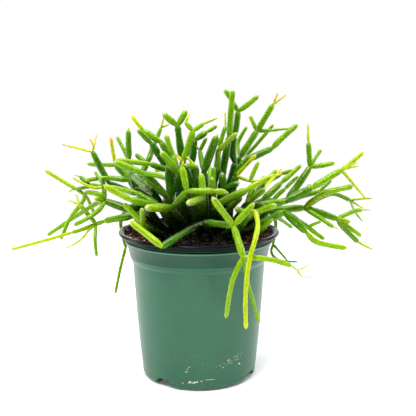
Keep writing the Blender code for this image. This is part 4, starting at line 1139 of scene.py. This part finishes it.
def grow_seen_stem(plant, name, root, segments):
    """One stem that the photograph shows, from its table of segments."""
    top = Vector((root.x, root.y, SOIL_TOP + STEM_FOOT))
    ends = {"root": plant.joint(top, None)}
    for label, parent, width, hue, *pixels in segments:
        joints = [ends[parent]]
        places = [seen(*pixel) for pixel in pixels]
        start = plant.points[ends[parent]]
        elbows = round((places[0] - start).length / ELBOW_LENGTH) if parent == "root" else 0
        joints += [plant.joint(elbow, "free") for elbow in arched(start, places[0], elbows)]
        for place, pixel in zip(places, pixels):
            joints.append(plant.joint(place, viewpoint_ray(pixel[0], pixel[1]).normalized()))
        plant.segment(name, joints, width, hue, max(elbows - 1, 0))
        ends[label] = joints[-1]


def grow_back_stem(plant, name, root, draw):
    """One stem behind those that the photograph shows: it rises, forks and leans out toward the back."""
    base = Vector((root.x, root.y, SOIL_TOP + STEM_FOOT))
    lean = math.atan2(root.y + 10.0, root.x * 1.3) + draw.uniform(-0.35, 0.35)

    def link(start, heading, climb, length, width, hue):
        step = Vector((math.cos(heading) * math.cos(climb), math.sin(heading) * math.cos(climb),
                       math.sin(climb))) * length
        end = plant.joint(plant.points[start] + step, "free")
        plant.segment(name, (start, end), width, hue)
        return end

    foot = plant.joint(base, None)
    knee = link(foot, lean, draw.uniform(1.0, 1.3), draw.uniform(17.0, 21.0), 4.6, 0.0)
    fork = link(knee, lean, draw.uniform(0.7, 1.0), draw.uniform(16.0, 20.0), 4.4, 0.1)
    for side in (-1.0, 1.0):
        turn = lean + side * draw.uniform(0.5, 0.9)
        climb = draw.uniform(0.0, 0.7)
        arm = link(fork, turn, climb, draw.uniform(13.0, 17.0), 3.8, 0.3)
        link(arm, turn + draw.uniform(-0.4, 0.4), climb - draw.uniform(0.2, 0.7),
             draw.uniform(10.0, 15.0), 3.0, 0.6)
    link(fork, lean, draw.uniform(0.5, 1.1), draw.uniform(12.0, 16.0), 3.4, 0.5)


def closest_on_tubes(a0, a1, b0, b1):
    """Parameters of the nearest points of many pairs of straight tubes."""
    u = a1 - a0
    v = b1 - b0
    w = a0 - b0
    uu = np.sum(u * u, axis=1)
    vv = np.sum(v * v, axis=1)
    uv = np.sum(u * v, axis=1)
    uw = np.sum(u * w, axis=1)
    vw = np.sum(v * w, axis=1)
    denominator = uu * vv - uv * uv
    s = np.where(denominator > 1e-6, (uv * vw - vv * uw) / np.maximum(denominator, 1e-6), 0.5)
    s = np.clip(s, 0.0, 1.0)
    t = np.clip((uv * s + vw) / vv, 0.0, 1.0)
    s = np.clip((uv * t - uw) / uu, 0.0, 1.0)
    return s, t


def rim_normal_and_gap(points):
    """Direction and distance from the pot's upper wall and lip to each point."""
    wall = [(RIDGE_RADIUS, POT_HEIGHT - LIP_HALF), (LIP_RADIUS - LIP_HALF, POT_HEIGHT - LIP_HALF),
            (RIDGE_RADIUS - LIP_HALF, RIDGE_HEIGHT), (WALL_TOP_RADIUS - LIP_HALF, COLLAR_FOOT_HEIGHT),
            (WALL_FOOT_RADIUS - LIP_HALF, 0.0)]
    out = np.hypot(points[:, 0], points[:, 1])
    flat = np.stack([out, points[:, 2]], axis=1)
    best_gap = np.full(len(points), 1e9)
    best_way = np.zeros((len(points), 2))
    for (r0, z0), (r1, z1) in zip(wall, wall[1:]):
        start = np.array([r0, z0])
        along = np.array([r1 - r0, z1 - z0])
        t = np.clip((flat - start) @ along / (along @ along), 0.0, 1.0)
        way = flat - (start + t[:, None] * along)
        gap = np.hypot(way[:, 0], way[:, 1])
        better = gap < best_gap
        best_gap = np.where(better, gap, best_gap)
        best_way = np.where(better[:, None], way, best_way)
    best_way /= np.maximum(best_gap, 1e-6)[:, None]
    radial = points[:, :2] / np.maximum(out, 1e-6)[:, None]
    flat_way = radial * best_way[:, :1]
    return np.hstack([flat_way, best_way[:, 1:]]), best_gap - LIP_HALF


def relax(plant):
    """Move the joints until no stem touches another stem, the pot's wall or the soil.

    A joint read from the photograph only moves along its line of sight, so the picture stays as it is.
    """
    points = np.array([tuple(point) for point in plant.points])
    free = np.array([1.0 if isinstance(way, str) else 0.0 for way in plant.ways])
    sight = np.array([(0.0, 0.0, 0.0) if way is None or isinstance(way, str) else tuple(way)
                      for way in plant.ways])
    fixed = np.array([1.0 if way is None else 0.0 for way in plant.ways])
    starts = np.array([tube[0] for tube in plant.tubes])
    ends = np.array([tube[1] for tube in plant.tubes])
    radii = np.array([tube[2] for tube in plant.tubes])
    stems = [tube[3] for tube in plant.tubes]
    names = {name: i for i, name in enumerate(dict.fromkeys(stems))}
    owner = np.array([names[stem] for stem in stems])
    first, second = np.triu_indices(len(radii), 1)
    apart = owner[first] != owner[second]
    first, second = first[apart], second[apart]

    moves = np.zeros_like(points)
    counts = np.zeros(len(points))

    def nearest(i, j):
        """For pairs of tubes, the share along each where they are nearest, and the way between."""
        s, t = closest_on_tubes(points[starts[i]], points[ends[i]], points[starts[j]], points[ends[j]])
        a = points[starts[i]] * (1 - s)[:, None] + points[ends[i]] * s[:, None]
        b = points[starts[j]] * (1 - t)[:, None] + points[ends[j]] * t[:, None]
        return s, t, b - a

    def push_joints(joints, shares, way, amount):
        along = np.sum(sight[joints] * way, axis=1)
        held = np.sign(along + 1e-9) * np.maximum(np.abs(along), 0.3)
        by_sight = sight[joints] * (np.clip(amount * shares / held, -1.2, 1.2))[:, None]
        by_free = way * (amount * shares)[:, None] * free[joints][:, None]
        np.add.at(moves, joints, by_sight + by_free)
        np.add.at(counts, joints, (shares > 0.05) * 1.0)

    def push(tubes, shares, way, amount):
        """Push tubes at a share of their length, each end by its part."""
        push_joints(starts[tubes], 1 - shares, way, amount)
        push_joints(ends[tubes], shares, way, amount)

    for turn in range(RELAX_ROUNDS):
        if turn % SEARCH_EVERY == 0:
            way = nearest(first, second)[2]
            near = np.linalg.norm(way, axis=1) < radii[first] + radii[second] + SEARCH_REACH
            i, j = first[near], second[near]
        moves[:] = 0.0
        counts[:] = 0.0
        s, t, way = nearest(i, j)
        distance = np.linalg.norm(way, axis=1)
        way /= np.maximum(distance, 1e-6)[:, None]
        lack = radii[i] + radii[j] + STEM_CLEARANCE - distance
        close = lack > 0.0
        push(i[close], s[close], -way[close], lack[close] * 0.6)
        push(j[close], t[close], way[close], lack[close] * 0.6)
        for share in np.linspace(0.0, 1.0, TUBE_SAMPLES):
            at = points[starts] * (1 - share) + points[ends] * share
            normal, gap = rim_normal_and_gap(at)
            missing = radii + POT_CLEARANCE - gap
            hit = missing > 0.0
            push(hit, np.full(hit.sum(), share), normal[hit], missing[hit] * 0.8)
            low = SOIL_TOP + SOIL_CROWN + radii + 0.4 - at[:, 2]
            sunk = (low > 0.0) & (np.hypot(at[:, 0], at[:, 1]) < LIP_RADIUS - 6.0)
            rise = np.tile((0.0, 0.0, 1.0), (sunk.sum(), 1))
            push(sunk, np.full(sunk.sum(), share), rise, low[sunk] * 0.5)
        points += moves * (1.0 - fixed)[:, None] / np.maximum(counts, 1.0)[:, None] ** 0.5
        if lack.max() < OVERLAP_LEFT and turn > RELAX_LEAST:
            break
    plant.points = [Vector(point) for point in points]


# Stems

def smooth_line(points, step):
    """A dense line through the joints, rounded where they bend."""
    if len(points) == 2:
        count = max(int((points[1] - points[0]).length / step), 4)
        line = [points[0].lerp(points[1], i / count) for i in range(count + 1)]
    else:
        padded = [points[0] * 2 - points[1]] + list(points) + [points[-1] * 2 - points[-2]]
        line = []
        for a, b, c, d in zip(padded, padded[1:], padded[2:], padded[3:]):
            count = max(int((c - b).length / step), 3)
            for i in range(count):
                t = i / count
                line.append(0.5 * (2 * b + (c - a) * t + (2 * a - 5 * b + 4 * c - d) * t * t
                                   + (3 * b - a - 3 * c + d) * t ** 3))
        line.append(points[-1].copy())
    return line


def smooth_step(value):
    value = min(max(value, 0.0), 1.0)
    return value * value * (3.0 - 2.0 * value)


def round_end(left, cap_length):
    """Share of the full radius in a round end, that far from its tip."""
    return math.sqrt(max(1.0 - (1.0 - min(left / cap_length, 1.0)) ** 2, 0.0))


def any_way(draw):
    return Vector((draw.uniform(-1, 1), draw.uniform(-1, 1), draw.uniform(-1, 1)))


def painted_stem_shade(point):
    """How much painted shade a stem gets among the others: near 1 low inside the pot, 0 higher up and
    outside it.
    """
    inside = 1.0 - smooth_step((math.hypot(point.x, point.y) - SHADE_REACH) / SHADE_EDGE)
    low = 1.0 - smooth_step((point.z - SOIL_TOP - SHADE_FROM) / SHADE_HEIGHT)
    return SHADE_MOST * inside * low


class StemMesh:
    """Gathers the links of one stem as overlapping closed skins, with their tone and pale tips."""

    def __init__(self):
        self.points = []
        self.faces = []
        self.tones = []
        self.pales = []

    def point(self, place, tone, pale):
        self.points.append(place)
        self.tones.append(tone)
        self.pales.append(pale)
        return len(self.points) - 1

    def ring(self, centre, side, up, radius, tone, pale, sides, wobble=None):
        for i in range(sides):
            angle = 2.0 * math.pi * i / sides
            out = radius * (1.0 if wobble is None else wobble(angle))
            self.point(centre + (side * math.cos(angle) + up * math.sin(angle)) * out, tone, pale)

    def bridge(self, first, second, sides):
        for i in range(sides):
            j = (i + 1) % sides
            self.faces.append((first + i, first + j, second + j, second + i))

    def link(self, joints, width, hue, is_tip, draw):
        """One club-shaped link: a narrow neck, a full body and a rounded tip with a pale areole."""
        radius = width / 2.0
        joints = [Vector(joint) for joint in joints]
        first_way = (joints[1] - joints[0]).normalized()
        last_way = (joints[-1] - joints[-2]).normalized()
        joints[0] = joints[0] - first_way * 0.35 * radius
        joints[-1] = joints[-1] + last_way * 0.35 * radius
        line = smooth_line(joints, RING_STEP)
        runs = [0.0]
        for a, b in zip(line, line[1:]):
            runs.append(runs[-1] + (b - a).length)
        length = runs[-1]
        bow = first_way.cross(any_way(draw)).normalized()
        bend = min(length * 0.02, 0.45) * draw.uniform(0.2, 1.0)
        slim = width < SLIM_WIDTH
        taper = 0.45 if slim and is_tip else 0.12
        sides = SLIM_SIDES if slim else STEM_SIDES
        ribs = draw.choice((5, 6, 7))
        rib_turn = draw.uniform(0.0, 6.28)
        swell = draw.uniform(0.02, 0.07)
        phase = draw.uniform(0.0, 6.28)
        tone_shift = draw.uniform(-0.05, 0.05)
        side = first_way.orthogonal().normalized()
        rings = []
        for i, (centre, run) in enumerate(zip(line, runs)):
            along = (line[min(i + 1, len(line) - 1)] - line[max(i - 1, 0)]).normalized()
            side = (side - along * side.dot(along)).normalized()
            share = run / length
            left = length - run
            neck = 0.60 + 0.40 * smooth_step(run / (2.6 * radius))
            cap = round_end(left, (2.4 if slim else 1.5) * radius)
            belly = 1.0 + swell * math.sin(phase + run * 0.42) - taper * share ** 1.5
            size = radius * neck * max(cap, 0.12) * belly
            tone = hue + tone_shift - 0.06 * smooth_step(1.0 - run / 4.0)
            tone += 0.11 * smooth_step(1.0 - left / min(0.35 * length, 8.0))
            woolly = is_tip and not slim
            tip = smooth_step((0.55 * radius - left) / (0.5 * radius)) if woolly else 0.0
            rib = 0.028 * min(cap, neck)
            wobble = (lambda angle: 1.0 + rib * math.cos(ribs * angle + rib_turn + run * 0.05))
            middle = centre + bow * bend * math.sin(math.pi * share)
            rings.append(len(self.points))
            self.ring(middle, side, along.cross(side), size, tone, 0.75 * tip, sides, wobble)
        for low, high in zip(rings, rings[1:]):
            self.bridge(low, high, sides)
        self.close(rings[0], line[0], sides, self.tones[rings[0]], 0.0, True)
        end = line[-1] + last_way * 0.06 * radius
        self.close(rings[-1], end, sides, self.tones[rings[-1]], self.pales[rings[-1]], False)
        if not slim and hue < YOUNG:
            self.areoles(line, length, radius, hue + tone_shift, draw)
        if is_tip and not slim:
            self.crest(line[-1], last_way, radius, draw)

    def close(self, ring, centre, sides, tone, pale, start):
        """Close a ring at the start or the end of a skin with a fan of triangles."""
        hub = self.point(centre, tone, pale)
        for i in range(sides):
            j = (i + 1) % sides
            self.faces.append((hub, ring + j, ring + i) if start else (hub, ring + i, ring + j))

    def pad(self, centre, normal, size, height, tone, pale, sides=6):
        """A small domed areole on the skin."""
        side = normal.orthogonal().normalized()
        up = normal.cross(side)
        low = len(self.points)
        self.ring(centre - normal * 0.25 * height, side, up, size, tone, pale * 0.4, sides)
        self.ring(centre + normal * 0.65 * height, side, up, size * 0.62, tone, pale, sides)
        self.bridge(low, low + sides, sides)
        self.close(low + sides, centre + normal * height, sides, tone, pale, False)
        self.close(low, centre - normal * 0.4 * height, sides, tone, pale, True)

    def hair(self, root, way, length, thick):
        """A short pale bristle."""
        side = way.orthogonal().normalized()
        up = way.cross(side)
        low = len(self.points)
        self.ring(root, side, up, thick, 0.6, 1.0, 3)
        self.point(root + way * length, 0.6, 1.0)
        for i in range(3):
            self.faces.append((low + i, low + (i + 1) % 3, low + 3))
        self.faces.append((low + 2, low + 1, low))

    def areoles(self, line, length, radius, tone, draw):
        """Areoles in a loose spiral along a link, each with a short bristle or two."""
        run = draw.uniform(1.0, 2.5)
        turn = draw.uniform(0.0, 6.28)
        while run < length - 1.0:
            share = run / length
            at = share * (len(line) - 1)
            i = min(int(at), len(line) - 2)
            centre = line[i].lerp(line[i + 1], at - i)
            along = (line[i + 1] - line[i]).normalized()
            side = along.orthogonal().normalized()
            up = along.cross(side)
            out = side * math.cos(turn) + up * math.sin(turn)
            neck = 0.62 + 0.38 * smooth_step(run / (2.6 * radius))
            skin = radius * neck * (1.0 - 0.10 * share ** 1.5)
            skin *= max(round_end(length - run, 1.5 * radius), 0.05 ** 0.5)
            size = draw.uniform(0.24, 0.42) * min(radius / 2.0, 1.0)
            self.pad(centre + out * skin, out, size, size * 0.6, tone + 0.12, draw.uniform(0.15, 0.75))
            if draw.random() < 0.6:
                for _ in range(draw.choice((1, 2, 3))):
                    lean = out + along * draw.uniform(-0.1, 0.9) + up * draw.uniform(-0.4, 0.4)
                    foot = centre + out * skin * 0.97
                    self.hair(foot, lean.normalized(), draw.uniform(0.7, 2.0), 0.05)
            run += AREOLE_STEP * draw.uniform(0.45, 0.8)
            turn += 2.4

    def crest(self, tip, way, radius, draw):
        """The woolly areole at the end of a link."""
        for _ in range(5):
            lean = (way + any_way(draw) * 0.5).normalized()
            place = tip - way * 0.25 * radius + lean * radius * 0.28
            self.pad(place, lean, radius * 0.2, radius * 0.16, 0.7, 0.85)

    def build(self, name, material):
        places = [in_frame(point) for point in self.points]
        thing = mesh_object(name, places, self.faces, [material])
        # painted shade, low down among the other stems
        add_attribute(thing.data, "painted_shade", [painted_stem_shade(point) for point in self.points])
        add_attribute(thing.data, "tone", self.tones)
        add_attribute(thing.data, "pale", self.pales)
        return thing


def make_stems(plant, names, material):
    """The finer skin of every stem, in place of its plain solid."""
    draw = random.Random(LOOK_SEED)
    starts = {segment[1][0] for segment in plant.segments}
    for name in names:
        mesh = StemMesh()
        links = [link for link in plant.segments if link[0] == name]
        root = plant.points[links[0][1][0]]
        peg = [root - Vector((0.0, 0.0, 7.0)), root + Vector((0.0, 0.0, 0.5))]
        mesh.link(peg, 2.0 * PEG_RADIUS, 0.0, False, draw)
        for _, joints, width, hue, elbows in links:
            for i in range(elbows):
                pair = [plant.points[joints[i]], plant.points[joints[i + 1]]]
                mesh.link(pair, width, hue * (i + 1) / (elbows + 1), False, draw)
            is_tip = joints[-1] not in starts
            mesh.link([plant.points[j] for j in joints[elbows:]], width, hue, is_tip, draw)
        skin = mesh.build(name + "_skin", material)
        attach(skin, "root")
        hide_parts(name)


def make_curl(material):
    """The thin root that curls in a ring beside a fork on the right."""
    across, down = CURL_MIDDLE
    pixels = [CURL_START]
    for i in range(CURL_STEPS):
        angle = math.radians(-40.0 + 360.0 * i / (CURL_STEPS - 1))
        pixels.append((across + CURL_REACH * math.cos(angle), down - CURL_REACH * math.sin(angle)))
    joints = [seen(px, py, CURL_TOWARD) for px, py in pixels]
    mesh = StemMesh()
    mesh.link(joints, CURL_WIDTH, CURL_HUE, False, random.Random(LOOK_SEED))
    curl = mesh.build("curled_aerial_root", material)
    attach(curl, "root")


# Floor, light and camera

def make_floor():
    bm = bmesh.new()
    bmesh.ops.create_grid(bm, x_segments=2, y_segments=2, size=FLOOR_HALF)
    mesh = bpy.data.meshes.new("floor")
    bm.to_mesh(mesh)
    bm.free()
    floor = bpy.data.objects.new("floor", mesh)
    floor.data.materials.append(floor_material())
    bpy.context.scene.collection.objects.link(floor)


def area_light(name, place, target, size, power, colour=(1.0, 1.0, 1.0)):
    data = bpy.data.lights.new(name, "AREA")
    data.shape = "RECTANGLE"
    data.size, data.size_y = size
    data.energy = power
    data.color = colour
    thing = bpy.data.objects.new(name, data)
    thing.location = Vector(place) + AXIS
    thing.rotation_euler = (Vector(target) - Vector(place)).to_track_quat("-Z", "Y").to_euler()
    bpy.context.scene.collection.objects.link(thing)


def make_world():
    """White behind the object, and a dimmer fill from all round."""
    world = bpy.data.worlds.new("studio")
    world.use_nodes = True
    graph = Graph(world.node_tree)
    behind = graph.scaled(graph.along("Generated", "Y"), 2.0, 0.2, clamp=True)
    gloss = graph.scaled(behind, BACK_GLOSS, GLOSS_FILL - FILL_STRENGTH)
    path = graph.add("ShaderNodeLightPath")
    fill = graph.nodes["Background"]
    graph.feed(fill.inputs["Color"], (0.97, 0.98, 1.0))
    strength = graph.scaled(path.outputs["Is Glossy Ray"], gloss, FILL_STRENGTH)
    graph.feed(fill.inputs["Strength"], strength)
    backdrop = graph.add("ShaderNodeBackground")
    graph.feed(backdrop.inputs["Color"], (1.0, 1.0, 1.0))
    choose = graph.add("ShaderNodeMixShader")
    graph.feed(choose.inputs[0], path.outputs["Is Camera Ray"])
    graph.feed(choose.inputs[1], fill.outputs["Background"])
    graph.feed(choose.inputs[2], backdrop.outputs["Background"])
    graph.feed(graph.nodes["World Output"].inputs["Surface"], choose.outputs["Shader"])
    bpy.context.scene.world = world


def make_lights():
    middle = (0.0, 0.0, 0.11)
    area_light("key", (-0.22, -0.66, 1.1), middle, (0.36, 0.36), 11.0, (1.0, 0.99, 0.96))
    area_light("top", (0.1, 0.1, 1.3), (0.1, 0.1, 0.0), (1.8, 1.8), 30.0)
    area_light("left_strip", (-0.9, 0.2, 0.25), middle, (0.3, 0.8), 4.5)
    area_light("right_strip", (0.9, 0.2, 0.25), middle, (0.3, 0.8), 4.0)
    bpy.context.scene.view_settings.view_transform = "Standard"


def make_camera():
    data = bpy.data.cameras.new("camera")
    data.sensor_width = SENSOR
    data.lens = FOCAL_PIXELS / PICTURE_SIZE * SENSOR
    camera = bpy.data.objects.new("camera", data)
    camera.location = in_frame((0.0, -VIEW_DISTANCE, VIEW_HEIGHT))
    camera.rotation_euler = (math.pi / 2.0 - VIEW_PITCH, 0.0, -VIEW_YAW)
    bpy.context.scene.collection.objects.link(camera)
    bpy.context.scene.camera = camera


def main():
    make_camera()
    make_world()
    make_lights()
    make_floor()
    make_pot()
    make_dirt()
    make_soil()
    make_chips()
    draw = random.Random(BACK_SEED)
    names = list(STEMS) + ["hidden_back_%d" % i for i in range(len(BACK_ROOTS))]
    roots = spread_roots([STEMS[name][0] for name in STEMS] + list(BACK_ROOTS))
    plant = Plant()
    for name, root in zip(names, roots):
        if name in STEMS:
            grow_seen_stem(plant, name, root, STEMS[name][1:])
        else:
            grow_back_stem(plant, name, root, draw)
    relax(plant)
    skin = stem_material()
    make_stems(plant, names, skin)
    make_curl(skin)


main()
